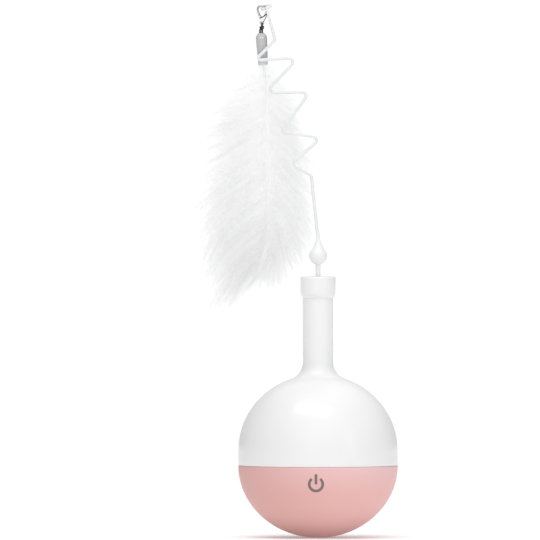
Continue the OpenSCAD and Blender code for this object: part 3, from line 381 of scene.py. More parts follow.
ballast_iron = cast_metal("ballast_iron", (0.05, 0.05, 0.055, 1), (0.085, 0.085, 0.09, 1), 0.0008)
coat(ballast_iron, "ballast_weight")
screw_zinc = bright_metal("screw_zinc", (0.5, 0.5, 0.5, 1), (0.62, 0.62, 0.6, 1), 0.26, "z")
coat(screw_zinc, "ballast_screws", "chassis_screws", "cover_screws", "motor_screws", "board_screws")

# Battery
# A soft-pack cell in silver pouch foil with a taped head, stuck to the ballast with a strip of
# black foam tape.

cell_foil, shader, place = finish("cell_foil", Metallic=0.7)
crinkle = noise(place, 0.003, 4.0, 0.6)
feed(shader, Base_Color=tint(crinkle, (0.46, 0.48, 0.52, 1), (0.58, 0.6, 0.63, 1)),
     Roughness=crinkle * 0.2 + 0.25, Normal=bump(crinkle, 0.0002, 0.5))
coat(cell_foil, "battery_cell")
foam_tape, shader, place = finish("foam_tape")
cells = place.node("TexVoronoi", {}, {"Vector": place, "Scale": 2500.0})
feed(shader, Base_Color=tint(cells, (0.02, 0.02, 0.02, 1), (0.05, 0.05, 0.05, 1)),
     Roughness=cells * 0.1 + 0.85, Normal=bump(cells, 0.0001, 0.6))
coat(foam_tape, "battery_pad")

# Chassis
# A grey ABS plate screwed to the bowl's posts, with the gear cover on four posts of its own.
# Both are plain mouldings with a fine sparked skin.


def moulding(name, deep, pale, gloss, grit=0.0006):
    material, shader, place = finish(name)
    skin = noise(place, grit, 3.0)
    feed(shader, Base_Color=tint(noise(place, 0.015), deep, pale), Roughness=skin * 0.1 + gloss,
         Normal=bump(skin, 0.00002, 0.5))
    return material


frame_grey = moulding("frame_grey", (0.26, 0.27, 0.28, 1), (0.3, 0.31, 0.32, 1), 0.45)
coat(frame_grey, "chassis_plate", "gear_cover")

# Motor
# A small brushed motor in a drawn, nickel-plated can with two flats and a white nylon end cap.
# Two countersunk screws hang it under the chassis; a brass pinion is pressed on its shaft.

coat(bright_metal("motor_nickel", (0.55, 0.55, 0.56, 1), (0.68, 0.68, 0.69, 1), 0.22, "z"), "motor_can")
natural_nylon = moulding("natural_nylon", (0.82, 0.81, 0.76, 1), (0.87, 0.86, 0.82, 1), 0.4)
ground_steel = bright_metal("ground_steel", (0.56, 0.56, 0.58, 1), (0.66, 0.66, 0.68, 1), 0.15, "z")
turned_brass = bright_metal("turned_brass", (0.66, 0.46, 0.16, 1), (0.76, 0.56, 0.24, 1), 0.2, "z")
coat(natural_nylon, "motor_endcap")
coat(ground_steel, "motor_shaft")
coat(turned_brass, "motor_pinion")

# Gear train
# Natural acetal gears: a compound idler on a fixed steel axle, and the output gear pressed on
# the shaft. The shaft runs in two turned brass bushes.

coat(natural_nylon, "idler_gear", "output_gear")
coat(ground_steel, "idler_axle", "output_shaft")
coat(turned_brass, "lower_bush", "upper_bush")

# Eccentric
# A half-disc of stamped steel on the shaft, locked by a black grub screw and kept on by a clip.
# It is swung round by the motor and makes the ball rock.

stamped_steel = bright_metal("stamped_steel", (0.28, 0.29, 0.3, 1), (0.38, 0.39, 0.4, 1), 0.3, "x")
black_steel = bright_metal("black_steel", (0.05, 0.05, 0.055, 1), (0.1, 0.1, 0.105, 1), 0.3, "z")
coat(stamped_steel, "eccentric_weight")
coat(black_steel, "grub_screw", "shaft_clip")

# Charging board
# A green solder-masked board with its controller, two lead plugs and the charging socket: a
# rounded steel shell with a black contact tongue, flush in the slot at the back of the bowl.
# A clear pipe beside it carries the charge light.

board_green, shader, place = finish("board_green", Specular_IOR_Level=0.5)
tracks = place.node("TexBrick", {"offset": 0.35}, {
    "Vector": place, "Scale": 260.0, "Mortar Size": 0.06, "Color1": (0.01, 0.14, 0.05, 1),
    "Color2": (0.015, 0.16, 0.06, 1), "Mortar": (0.03, 0.24, 0.1, 1)})
feed(shader, Base_Color=tracks, Roughness=noise(place, 0.002) * 0.1 + 0.28)
coat(board_green, "circuit_board")
chip_black = moulding("chip_black", (0.012, 0.012, 0.013, 1), (0.025, 0.025, 0.026, 1), 0.5, 0.0002)
coat(chip_black, "board_parts", "usb_tongue")
coat(bright_metal("socket_steel", (0.5, 0.5, 0.51, 1), (0.64, 0.64, 0.65, 1), 0.24, "y"), "usb_socket")
light_clear, shader, place = finish("light_clear", Transmission_Weight=0.5, IOR=1.49)
haze = noise(place, 0.0008)
feed(shader, Base_Color=tint(haze, (0.84, 0.89, 0.9, 1), (0.93, 0.96, 0.96, 1)),
     Roughness=haze * 0.15 + 0.15)
coat(light_clear, "charge_light")

# Touch key
# Copper foil glued behind the bowl's wall senses a finger on the printed power mark, which is
# a thin film of warm grey ink with slightly uneven cover.

copper_foil, shader, place = finish("copper_foil", Metallic=1.0)
rolled = noise(place, 0.001, 3.0)
feed(shader, Base_Color=tint(rolled, (0.66, 0.33, 0.17, 1), (0.78, 0.43, 0.25, 1)),
     Roughness=rolled * 0.2 + 0.25)
coat(copper_foil, "touch_pad")
grey_ink, shader, place = finish("grey_ink")
cover = noise(place, 0.0005, 3.0)
feed(shader, Base_Color=tint(cover, (0.17, 0.125, 0.125, 1), (0.215, 0.165, 0.165, 1)),
     Roughness=cover * 0.1 + 0.45)
coat(grey_ink, "power_mark")

# Leads
# Stranded wire in soft PVC skins: a red and a black one from the cell and from the motor, and a
# white one from the touch key to the board.


def lead_skin(name, deep, pale):
    material, shader, place = finish(name)
    dull = noise(place, 0.001)
    feed(shader, Base_Color=tint(dull, deep, pale), Roughness=dull * 0.1 + 0.4)
    return material


lead_red_black = lead_skin("lead_red_black", (0.12, 0.01, 0.01, 1), (0.3, 0.025, 0.025, 1))
lead_white = lead_skin("lead_white", (0.76, 0.76, 0.74, 1), (0.84, 0.84, 0.82, 1))
coat(lead_red_black, "battery_leads", "motor_leads")
coat(lead_white, "touch_lead")

# Upper dome
# The white half of the body with its tall neck, one glossy ABS moulding. A spigot under its rim
# snaps into the bowl, and both rims are bevelled, so the seam shows as a fine shadow line.

BAND_TOP = 46.0
DOME_H = 40.0
NECK_R = 8.0
NECK_FILLET = 9.0
CAP_Z = 126.1
NECK_TOP = 134.0
BORE_R = NECK_R - WALL
SPIGOT_T = 1.21
STRAIGHT = 12.0             # rings this far from the neck's ends keep its side straight
WHITE = (0.84, 0.84, 0.84, 1)
WHITE_DULL = (0.82, 0.82, 0.822, 1)

low, high = 45.0, 90.0
for _ in range(24):
    # the fillet's circle touches the neck and the dome; its place on the dome is found by halving
    turn = math.radians((low + high) / 2)
    slope = math.hypot(math.cos(turn) / BALL_R, math.sin(turn) / DOME_H)
    reach = BALL_R * math.cos(turn) + NECK_FILLET * math.cos(turn) / BALL_R / slope
    low, high = ((low + high) / 2, high) if reach > NECK_R + NECK_FILLET else (low, (low + high) / 2)
fillet_turn = math.radians(low)
fillet_lean = math.degrees(math.atan2(math.sin(fillet_turn) / DOME_H, math.cos(fillet_turn) / BALL_R))
fillet_z = BAND_TOP + DOME_H * math.sin(fillet_turn) + NECK_FILLET * math.sin(math.radians(fillet_lean))
root_z = SEAM_Z + SPIGOT_H / 2
dome_outline = (
    [(inner_r, SEAM_Z), (BALL_R - SEAM_BEVEL, SEAM_Z)]
    + [(BALL_R - SEAM_BEVEL * 0.2, SEAM_Z + SEAM_BEVEL * 0.3)]
    + [(BALL_R, SEAM_Z + SEAM_BEVEL), (BALL_R, SEAM_Z + 3), (BALL_R, BAND_TOP - 2)]
    + arc((0, BAND_TOP), (BALL_R, DOME_H), 0, low, 56)
    + arc((NECK_R + NECK_FILLET, fillet_z), (NECK_FILLET, NECK_FILLET), 180 + fillet_lean, 180, 20)[1:]
    + [(NECK_R, fillet_z + STRAIGHT), (NECK_R, CAP_Z - STRAIGHT)]
    + [(NECK_R, CAP_Z - 0.2), (NECK_R - 0.15, CAP_Z)]
    + [(NECK_R - WALL / 2, CAP_Z), (NECK_R - WALL / 2, NECK_TOP), (BORE_R, NECK_TOP)]
    + arc((0, BAND_TOP), (inner_r, DOME_H - WALL), math.degrees(math.acos(BORE_R / inner_r)), 0, 32)
    + [(inner_r, root_z + SPIGOT_T), (inner_r - SPIGOT_T, root_z), (inner_r - SPIGOT_T, SEAM_Z - SPIGOT_H)]
    + [(inner_r, SEAM_Z - SPIGOT_H), (inner_r, SEAM_Z)]
)
dome = lathe("dome", dome_outline, 180)
settle(dome)

white_shell, shader, place = finish("white_shell", Specular_IOR_Level=0.2, Coat_Roughness=0.09)
flow = noise(place, 0.012)
feed(
    shader,
    Base_Color=tint(flow, WHITE_DULL, WHITE),
    Roughness=noise(place, 0.001, 3.0) * 0.06 + 0.26,
    Coat_Weight=flow * 0.1 + 0.24,
    Normal=bump(noise(place, 0.004), 0.00002, 0.12),
)
dress(dome, "housing", white_shell, "white_shell", "upper_dome")

# Neck cap and socket
# A white ring cap pushed over the neck's spigot down to its shoulder, with a soft top edge and a
# sloping underside. Its plate traps the flange of the silicone socket that grips the wand.

CAP_R = 9.25
CAP_TOP = 137.6
CAP_SLOPE = 2.6
CAP_ROUND = 1.0
CAP_PLATE = 2.2
CAP_HOLE = 1.6
CAP_FIT = 0.1
cap_inside = NECK_R - WALL / 2 + CAP_FIT
slope_top = CAP_Z + CAP_SLOPE
cap_outline = (
    [(cap_inside, CAP_Z), (NECK_R - 0.15, CAP_Z), (NECK_R + 0.06, CAP_Z + 0.15)]
    + [(CAP_R - 0.3, slope_top - 0.6), (CAP_R - 0.1, slope_top - 0.1), (CAP_R, slope_top + 0.5)]
    + [(CAP_R, slope_top + 2)]
    + arc((CAP_R - CAP_ROUND, CAP_TOP - CAP_ROUND), (CAP_ROUND, CAP_ROUND), 0, 90, 10)
    + [(CAP_HOLE + 0.3, CAP_TOP), (CAP_HOLE + 0.08, CAP_TOP - 0.1), (CAP_HOLE, CAP_TOP - 0.35)]
    + [(CAP_HOLE, CAP_TOP - CAP_PLATE), (cap_inside, CAP_TOP - CAP_PLATE), (cap_inside, CAP_Z)]
)
cap = lathe("cap", cap_outline)
settle(cap)
dress(cap, "housing", white_shell, "white_shell", "neck_cap")

silicone, shader, place = finish("silicone", Specular_IOR_Level=0.4)
milky = noise(place, 0.002)
feed(shader, Base_Color=tint(milky, (0.74, 0.74, 0.72, 1), (0.82, 0.82, 0.8, 1)),
     Roughness=milky * 0.15 + 0.5)
coat(silicone, "wand_socket")

# Wand root
# A drop-shaped bead with a straight stem below, moulded in white polymer round the wire's lower
# end and drawn out to the wire's own thickness.

STEM_R = 1.3
SOCKET_Z = 124.6
BEAD_Z = 148.3
BEAD_R = 4.7
BEAD_TIP = 11.5
WIRE_R = 0.85
MEET = 35.0                 # where the ball of the bead turns into its tip, in degrees
LIT_STEM_TOP = 0.1438           # the stem meets the bead at this height, in metres; below it the stem is painted paler, as painted light in the bead's shade
DRAW_STEPS = 18
stem_turn = -math.degrees(math.acos(STEM_R / BEAD_R))
meet_r = BEAD_R * math.cos(math.radians(MEET))
meet_z = BEAD_Z + BEAD_R * math.sin(math.radians(MEET))
tip_z = BEAD_Z + BEAD_TIP
drawn = [(t / DRAW_STEPS, 1 - t / DRAW_STEPS) for t in range(1, DRAW_STEPS + 1)]
root_outline = (
    [(0, SOCKET_Z), (STEM_R - 0.2, SOCKET_Z), (STEM_R, SOCKET_Z + 0.2), (STEM_R, CAP_TOP + 2)]
    + arc((0, BEAD_Z), (BEAD_R, BEAD_R), stem_turn, MEET, 28)
    + [(WIRE_R * 1.1 + (meet_r - WIRE_R * 1.1) * s ** 2.2, meet_z + (tip_z - meet_z) * t) for t, s in drawn]
    + [(WIRE_R, tip_z + 0.4), (0, tip_z + 0.4)]
)
bead = lathe("bead", root_outline, 72)
settle(bead)

white_wand, shader, place = finish("white_wand", Specular_IOR_Level=0.45)
draw = noise(place, 0.003)
# painted light: the stem under the bead is paler than the bead, to lift the shade that the bead throws on
# it
lit_stem = clamp((LIT_STEM_TOP - along(place, "Z")) * 2000)
drop = tint(draw, (0.795, 0.81, 0.815, 1), (0.825, 0.835, 0.84, 1))
feed(shader, Base_Color=tint(lit_stem, drop, (0.9, 0.91, 0.91, 1)), Roughness=draw * 0.1 + 0.3,
     Normal=bump(noise(place, 0.0008), 0.00001, 0.4))
dress(bead, "wand", white_wand, "white_wand", "wand_root")

# Wand wire
# White-coated spring wire, bent on pins into a leaning zigzag that gets closer towards its top.
# Its end is curled into a small eye for the clasp.

BEND_R = 2.0
TIGHT_BEND_R = 1.2        # where the wire crosses the ferrule
BEND_STEPS = 12
WIRE_START = (0, 0, 8.5)
CRESTS = [
    (-3.7, 0, 42.2), (-13, 0, 48.6), (-0.2, 0, 61.6), (-18.3, 0, 66), (-6, 0, 85.4),
    (-25.7, 0, 87), (-12.6, 0, 103.3), (-31.7, 0, 103.7), (-22.8, 0, 113.7),
]
EYE_AT = Vector((-27.3, 3.6, 130.9))
EYE_R = 2.3
EYE_ROLL = math.radians(22.5)
EYE_TILT = math.radians(10)


def tube(name, path, radii, corners=16):
    """Round bar along a path in millimetres, with one radius for each of its points."""
    bpy.ops.object.select_all(action="DESELECT")
    bpy.ops.curve.primitive_nurbs_path_add()
    line = bpy.context.object
    line.name = name
    bpy.ops.object.mode_set(mode="EDIT")
    bpy.ops.curve.select_all(action="SELECT")
    bpy.ops.curve.spline_type_set(type="POLY")
    bpy.ops.object.mode_set(mode="OBJECT")
    run = line.data.splines[0].points
    run.add(len(path) - len(run))
    for point, at, radius in zip(run, path, radii):
        point.co = (*at, 1)
        point.radius = radius
    line.data.bevel_depth = 1.0
    line.data.bevel_resolution = corners // 2 - 2
    line.data.use_fill_caps = True
    line.data.twist_mode = "MINIMUM"
    bpy.ops.object.convert(target="MESH")
    bpy.ops.object.mode_set(mode="EDIT")
    bpy.ops.mesh.select_all(action="SELECT")
    bpy.ops.mesh.remove_doubles(threshold=0.0005)
    bpy.ops.mesh.normals_make_consistent(inside=False)
    bpy.ops.object.mode_set(mode="OBJECT")
    return bpy.context.object


def half_turn(p, q, s):
    return (p - q).angle(s - q) / 2


def bisector(p, q, s):
    return ((p - q).normalized() + (s - q).normalized()).normalized()


def eye_point(angle):
    """A point on the eye, from the side where the wire comes in."""
    flat = Vector((EYE_R * math.sin(angle), -EYE_R * math.cos(angle), 0))
    tipped = Vector((flat.x, flat.y * math.cos(EYE_TILT), flat.y * math.sin(EYE_TILT)))
    return EYE_AT + Vector((
        tipped.x * math.cos(EYE_ROLL) - tipped.z * math.sin(EYE_ROLL),
        tipped.y,
        tipped.x * math.sin(EYE_ROLL) + tipped.z * math.cos(EYE_ROLL),
    ))


marks = [Vector(p) for p in [WIRE_START] + CRESTS] + [eye_point(0)]
bend_radii = [TIGHT_BEND_R if crest[0] < -30 else BEND_R for crest in CRESTS]
bends = [marks[0]]
for p, q, s, radius in zip(marks, marks[1:], marks[2:], bend_radii):
    # a bend's corner stands out from its crest, so that the rounded wire passes through the crest
    bends.append(q - bisector(p, q, s) * radius * (1 / math.sin(half_turn(p, q, s)) - 1))
bends.append(marks[-1])
wire_path = [bends[0]]
for p, q, s, radius in zip(bends, bends[1:], bends[2:], bend_radii):
    half = half_turn(p, q, s)
    middle = q + bisector(p, q, s) * radius / math.sin(half)
    first = q + (p - q).normalized() * radius / math.tan(half) - middle
    last = q + (s - q).normalized() * radius / math.tan(half) - middle
    wide = math.pi - 2 * half
    for k in range(BEND_STEPS + 1):
        t = k / BEND_STEPS
        swept = first * math.sin((1 - t) * wide) + last * math.sin(t * wide)
        wire_path.append(middle + swept / math.sin(wide))
wire_path += [eye_point(math.radians(a)) for a in range(0, 352, 8)]
lift = Vector((0, 0, BEAD_Z))
wire = tube("wire", [p + lift for p in wire_path], [WIRE_R] * len(wire_path), 18)
settle(wire, smooth=50)
wire_coat, shader, place = finish("wire_coat", Specular_IOR_Level=0.25)
skin = noise(place, 0.002)
feed(shader, Base_Color=tint(skin, (0.75, 0.775, 0.79, 1), (0.78, 0.8, 0.815, 1)),
     Roughness=skin * 0.1 + 0.35, Normal=bump(noise(place, 0.0006), 0.00001, 0.2))
dress(wire, "wand", wire_coat, "white_wand", "wand_wire")

# Clasp
# A small lobster clasp, cast in zinc and nickel-plated: a hook with a base eye, and a sprung
# lever on a riveted pin that closes the hook's mouth.

HANG = Vector((-29.4249, 3.6, 278.3198))
HOOK_DROP = 0.4
HOOK_LINE_R = 2.3
BASE_EYE = (-0.05, -7.4)
BASE_EYE_R, BASE_EYE_BAR = 0.98, 0.33
BODY_THICK, LEVER_THICK = 1.8, 0.6
LEVER_SLOT = 0.86
# in the clasp's own plane, from the point that it hangs on
HOOK_SPINE = [(-2.05, -1.7), (-1.65, -2.9), (-1.1, -4.0), (-0.4, -4.9), (0.1, -5.4)]
SPINE_R = [0.6, 0.66, 0.74, 0.82, 0.85]
BODY_EDGE = [
    (-1.3, -4.45), (-0.6, -4.25), (0.2, -3.85), (1.0, -3.35), (1.7, -2.8), (2.2, -2.4), (2.6, -2.5),
    (2.7, -3.3), (2.35, -4.2), (1.85, -5.2), (1.3, -6.1), (0.75, -6.7), (-0.5, -6.75), (-0.95, -6.1),
    (-1.3, -5.2),
]
LEVER_EDGE = [
    (1.62, -1.0), (2.1, -0.92), (2.68, -1.12), (2.62, -2.0), (2.3, -3.0), (1.9, -4.0), (1.7, -4.7),
    (1.35, -5.3), (0.95, -5.42), (0.4, -5.2), (0.14, -4.6), (0.45, -4.05), (0.9, -3.5), (1.2, -2.7),
    (1.42, -1.9),
]
SHADE_LINE_FADE = 5               # a painted shade line fades by this much a millimetre


def fuse(pieces, voxel):
    """Melts pieces that were drawn in millimetres into one casting with soft inner corners."""
    bpy.ops.object.select_all(action="DESELECT")
    for piece in pieces:
        piece.select_set(True)
    bpy.context.view_layer.objects.active = pieces[0]
    bpy.ops.object.join()
    body = bpy.context.object
    skin = body.modifiers.new("skin", "REMESH")
    skin.mode = "VOXEL"
    skin.voxel_size = voxel
    bpy.ops.object.modifier_apply(modifier=skin.name)
    soft = body.modifiers.new("soft", "SMOOTH")
    soft.factor = 0.5
    soft.iterations = 4
    bpy.ops.object.modifier_apply(modifier=soft.name)
    return body


def plate(name, outline, thick, edge):
    """A flat blank in the clasp's plane, cut to an outline, with its edges rounded."""
    bpy.ops.object.select_all(action="DESELECT")
    bpy.ops.mesh.primitive_plane_add(size=1)
    blank = bpy.context.object
    blank.name = name
    bpy.ops.object.mode_set(mode="EDIT")
    bpy.ops.mesh.select_all(action="SELECT")
    bpy.ops.mesh.merge(type="CENTER")
    bpy.ops.transform.translate(value=(outline[0][0], -thick / 2, outline[0][1]))
    for (x0, z0), (x1, z1) in zip(outline, outline[1:]):
        bpy.ops.mesh.extrude_region_move(TRANSFORM_OT_translate={"value": (x1 - x0, 0, z1 - z0)})
    bpy.ops.mesh.select_all(action="SELECT")
    bpy.ops.mesh.edge_face_add()
    bpy.ops.mesh.extrude_region_move(TRANSFORM_OT_translate={"value": (0, thick, 0)})
    bpy.ops.mesh.select_all(action="SELECT")
    bpy.ops.mesh.normals_make_consistent(inside=False)
    bpy.ops.object.mode_set(mode="OBJECT")
    worn = blank.modifiers.new("worn", "BEVEL")
    worn.width = edge
    worn.segments = 3
    bpy.ops.object.modifier_apply(modifier=worn.name)
    return blank


ring = arc((0, -HOOK_DROP), (HOOK_LINE_R, HOOK_LINE_R), -8, 184, 32)
thick = [0.38 + 0.2 * min(1, i / 6) for i in range(len(ring))] + SPINE_R
hook_bar = tube("hook", [(x, 0, z) for x, z in ring + HOOK_SPINE], thick, 16)
hook_body = plate("hook_body", BODY_EDGE, BODY_THICK, 0.3)
bpy.ops.object.select_all(action="DESELECT")
bpy.ops.mesh.primitive_torus_add(
    major_radius=BASE_EYE_R, minor_radius=BASE_EYE_BAR, major_segments=40, minor_segments=16,
    location=(BASE_EYE[0], 0, BASE_EYE[1]), rotation=(math.pi / 2, 0, 0),
)
hook_eye = bpy.context.object
bpy.ops.object.transform_apply(location=True, rotation=True, scale=True)
hook = fuse([hook_bar, hook_body, hook_eye], 0.07)
bpy.ops.object.select_all(action="DESELECT")
bpy.ops.mesh.primitive_cube_add(size=1, location=(1.35, 0, -3.6), scale=(3.4, LEVER_SLOT, 3.4))
lever_cutter = bpy.context.object
bpy.ops.object.transform_apply(location=True, rotation=True, scale=True)
cut(hook, lever_cutter)
settle(hook, HANG, smooth=50)

clasp_nickel, shader, place = finish("clasp_nickel", Metallic=1.0)
tarnish = noise(place, 0.0009, 3.0)
side = along(place, "X") * 1000 - HANG.x
up = along(place, "Z") * 1000 - HANG.z
# painted shade: dark lines along the body's edge under the hook's opening, and along its outer edge by the
# lever, where the gaps between the parts fall in shade
brow = side * 0.65 + (side - 0.5) * (side - 0.5) * 0.0825 - 4.255
flank = up * 0.617 + 4.8
brow_shade = place.node("Math", {"operation": "ABSOLUTE"}, {0: up - brow}) * -SHADE_LINE_FADE + 2.3
flank_shade = place.node("Math", {"operation": "ABSOLUTE"}, {0: side - flank}) * -SHADE_LINE_FADE + 1.6
painted_shade = clamp(place.math("MAXIMUM", brow_shade, flank_shade))
# painted shade and painted light on one plating: the ring is painted darker and the lower body paler, as
# they are lit
lower = clamp(up * -1 - 3.6)
shaded_ring_metal = tint(tarnish, (0.36, 0.35, 0.35, 1), (0.68, 0.67, 0.67, 1))
lit_and_shaded_plating = tint(lower, shaded_ring_metal, tint(tarnish, (0.8, 0.8, 0.79, 1), (0.96, 0.96, 0.95, 1)))
feed(shader, Base_Color=tint(painted_shade, lit_and_shaded_plating, (0.05, 0.05, 0.05, 1)),
     Roughness=tarnish * 0.12 + painted_shade * 0.2 + 0.14, Normal=bump(noise(place, 0.0005), 0.00003, 0.4))
dress(hook, "clasp", clasp_nickel, "clasp_metal", "clasp_hook")
coat(clasp_nickel, "clasp_pin")

lever = plate("lever", LEVER_EDGE, LEVER_THICK, 0.14)
settle(lever, HANG, smooth=50)
cream_nickel, shader, place = finish("cream_nickel", Metallic=0.55)
worn = noise(place, 0.0008, 3.0)
feed(shader, Base_Color=tint(worn, (0.72, 0.7, 0.64, 1), (0.84, 0.82, 0.77, 1)),
     Roughness=worn * 0.12 + 0.22)
dress(lever, "lever", cream_nickel, "clasp_lever", "clasp_lever")

# Cord loop
# A doubled black polyester cord, looped through the clasp's base eye, wrapped twice below it and
# crimped into the ferrule. The braid shows as fine slanting ridges.

FEATHER_AT = HANG + Vector((BASE_EYE[0], 0, BASE_EYE[1]))
FEATHER_LEAN = math.radians(3)
CORD_R = 0.5
CORD_SPREAD = 0.57
LOOP_R = 1.4
FERRULE_TOP = (-0.5, -5.2)


def feather_point(x, y, back=0.0):
    """A point of the feather's plane, x to the right and y up. It leans back as it goes down."""
    return FEATHER_AT + Vector((x, -y * math.tan(FEATHER_LEAN) + back, y))


over = [(0, y, z) for y, z in arc((0, -0.7), (-LOOP_R, LOOP_R / 2), 0, 180, 12)]
cord_path = (
    [feather_point(FERRULE_TOP[0] + CORD_SPREAD, y) for y in (-6.4, -5.2, -3.6)]
    + [feather_point(0.25, -2.6, -0.5), feather_point(0.1, -1.9, -1.1)]
    + [FEATHER_AT + Vector(p) for p in over]
    + [feather_point(-0.1, -1.9, 1.1), feather_point(-0.3, -2.6, 0.5)]
    + [feather_point(FERRULE_TOP[0] - CORD_SPREAD, y) for y in (-3.6, -5.2, -6.4)]
)
cord = tube("cord", cord_path, [CORD_R] * len(cord_path), 14)
turns = [(0.9 * math.cos(math.radians(a)), 0.75 * math.sin(math.radians(a)), -1.75 - 0.55 * a / 360)
         for a in range(0, 720, 20)]
wrap_path = [FEATHER_AT + Vector((x - 0.12, y - z * math.tan(FEATHER_LEAN), z)) for x, y, z in turns]
wrap = tube("wrap", wrap_path, [CORD_R * 0.7] * len(wrap_path), 12)
bpy.ops.object.select_all(action="DESELECT")
wrap.select_set(True)
cord.select_set(True)
bpy.context.view_layer.objects.active = cord
bpy.ops.object.join()
settle(cord, smooth=60)

black_braid, shader, place = finish("black_braid", Specular_IOR_Level=0.25, Sheen_Weight=0.2)
slant = place.node("Mapping", {}, {"Vector": place, "Rotation": (0, math.radians(35), 0)})
ridges = place.node("TexWave", {"bands_direction": "Z"}, {
    "Vector": slant, "Scale": 900.0, "Distortion": 1.5})
feed(shader, Base_Color=tint(ridges, (0.008, 0.008, 0.009, 1), (0.045, 0.045, 0.048, 1)),
     Roughness=ridges * 0.15 + 0.6, Normal=bump(ridges, 0.00015, 0.7))
dress(cord, "feather", black_braid, "black_cord", "cord_loop")

# Ferrule
# A grey painted metal cap, crimped on the cord and the quill: a bullet shoulder with two small bright metal
# pips, a slight taper and a rounded lower lip.

FERRULE_R = 2.95
FERRULE_LOW_R = 2.6
FERRULE_H = 17.2
FERRULE_TURN = math.radians(3.5)
LIP_R = 0.8
LIP_FADE = 0.28
ferrule_outline = (
    [(0, -2.2), (1.17, -2.2), (1.17, -0.1), (1.27, 0), (1.4, 0), (1.62, -0.14), (1.95, -0.5), (2.35, -1.02)]
    + [(2.64, -1.52), (2.84, -2.05), (2.93, -2.6), (FERRULE_R, -3.2)]
    + [(FERRULE_R - 0.1, -7), (FERRULE_LOW_R + 0.05, -14)]
    + arc((FERRULE_LOW_R - LIP_R, -FERRULE_H + LIP_R), (LIP_R, LIP_R), 0, -90, 8)
    + [(0.9, -FERRULE_H), (0.9, -FERRULE_H + 6), (0, -FERRULE_H + 6)]
)
ferrule_at = feather_point(*FERRULE_TOP)
ferrule = lathe("ferrule", ferrule_outline, 72)
settle(ferrule, ferrule_at, (FEATHER_LEAN, -FERRULE_TURN, 0), 40)

grey_paint, shader, place = finish("grey_paint", Specular_IOR_Level=0.35)
spray = noise(place, 0.0008, 3.0)
drop = along(place, "Z") * -1000 + ferrule_at.z
beside = along(place, "X") * 1000 - ferrule_at.x - drop * math.tan(FERRULE_TURN)
painted_right_shade = clamp(beside * 1.6 - 3.2)                            # painted shade: darker down the right side, where the cap turns away from the light
lip = clamp(drop * LIP_FADE - FERRULE_H * LIP_FADE + 1)     # paler towards the lower lip
painted = tint(spray, (0.47, 0.47, 0.475, 1), (0.53, 0.53, 0.535, 1))
painted = tint(painted_right_shade * 0.75, painted, (0.26, 0.26, 0.26, 1))
feed(shader, Base_Color=tint(lip * 0.6, painted, (0.8, 0.8, 0.8, 1)), Roughness=spray * 0.12 + 0.42,
     Normal=bump(spray, 0.00003, 0.4))
dress(ferrule, "feather", grey_paint, "grey_ferrule", "feather_ferrule")

PIP_R = 0.5
PIP_APART = 1.2
PIP_Z = -2.4
bpy.ops.object.select_all(action="DESELECT")
pips = []
for step in (-0.5, 0.5):
    bpy.ops.mesh.primitive_uv_sphere_add(segments=24, ring_count=12, radius=PIP_R,
                                         location=(PIP_APART * step, -FERRULE_R + 0.2, PIP_Z))
    bpy.ops.object.transform_apply(location=True, rotation=True, scale=True)
    pips.append(bpy.context.object)
for pip in pips:
    pip.select_set(True)
bpy.ops.object.join()
pips = bpy.context.object
pips.name = "shoulder_pips"
settle(pips, ferrule_at, (FEATHER_LEAN, -FERRULE_TURN, 0), 60)
dress(pips, "feather", clasp_nickel, "clasp_metal", "feather_ferrule")

# Feather
# A white marabou plume: a fine, tapering quill, and limp barbs that leave it on both sides, sweep
# down to its tip and carry a haze of down. The barbs' ends cling together in pointed tufts.

FERRULE_LOW = (
    FERRULE_TOP[0] + FERRULE_H * math.sin(FERRULE_TURN),
    FERRULE_TOP[1] - FERRULE_H * math.cos(FERRULE_TURN),
)
QUILL = [
    (-0.3, 5), (0, 1.5), (0.9, -4), (1.5, -8), (1.8, -20), (2, -34), (2.3, -45), (2.6, -55),
    (3.3, -66), (3.9, -76), (3.4, -87), (2, -96), (-0.4, -103), (-3, -108), (-6, -112),
]
QUILL_R = [0.6, 0.5, 0.42, 0.38, 0.32, 0.28, 0.26, 0.24, 0.22, 0.2, 0.18, 0.16, 0.14, 0.12, 0.1]
# where a barb leaves the quill, where it ends at the plume's edge, and its slope there in degrees
LEFT = [
    (0, (-4.5, -2), 40), (-2, (-11.5, -6.5), 30), (-5, (-15.5, -13), 24), (-9, (-22, -20.5), 20),
    (-13, (-28, -24), 12), (-18, (-28, -30), 12), (-23, (-32.5, -36), 14), (-30, (-32, -47), 24),
    (-36, (-33.5, -57), 32), (-43, (-34.5, -68), 36), (-49, (-34.5, -76), 38), (-56, (-33, -87), 62),
    (-63, (-32, -96), 74), (-71, (-31, -104), 76), (-80, (-31, -113), 70), (-90, (-28, -119), 60),
    (-99, (-25, -128), 55), (-106, (-20, -125), 55), (-111, (-15.5, -126.5), 58),
]
RIGHT = [
    (0, (4.5, -2), 40), (-2, (8, -6), 36), (-6, (12.5, -12), 34), (-11, (18.5, -20.5), 28),
    (-18, (21, -32), 30), (-26, (24, -44), 30), (-33, (28, -52), 32), (-41, (26, -64), 40),
    (-49, (26.5, -74), 45), (-58, (26.5, -84), 50), (-66, (24.5, -95), 56), (-75, (20.5, -104), 62),
    (-84, (14, -112), 68), (-92, (6.5, -117), 78), (-100, (-1, -119.5), 95), (-106, (-9, -114), 118),
    (-111, (-13.5, -123), 122),
]
BARBS = 560
LOOSE_BARBS = 16
FRONT_BARBS = 30
TUFTS = 28
BARB_R = 0.032
BARB_STEPS = 9
DOWN_R = 0.034
DOWN_PER_MM = 4.6
DOWN_LONG, DOWN_SHORT = 7.5, 2.5    # a hair's reach at a barb's root and at its end
COVER = (0.45, 1.6, 2.3)            # layers of down at the ferrule, over the upper half and at the tip
COVER_FULL = 30                     # the second is reached this far below the ferrule
COVER_LOW, COVER_RUN = 55, 60       # the third sets in here, and takes this long
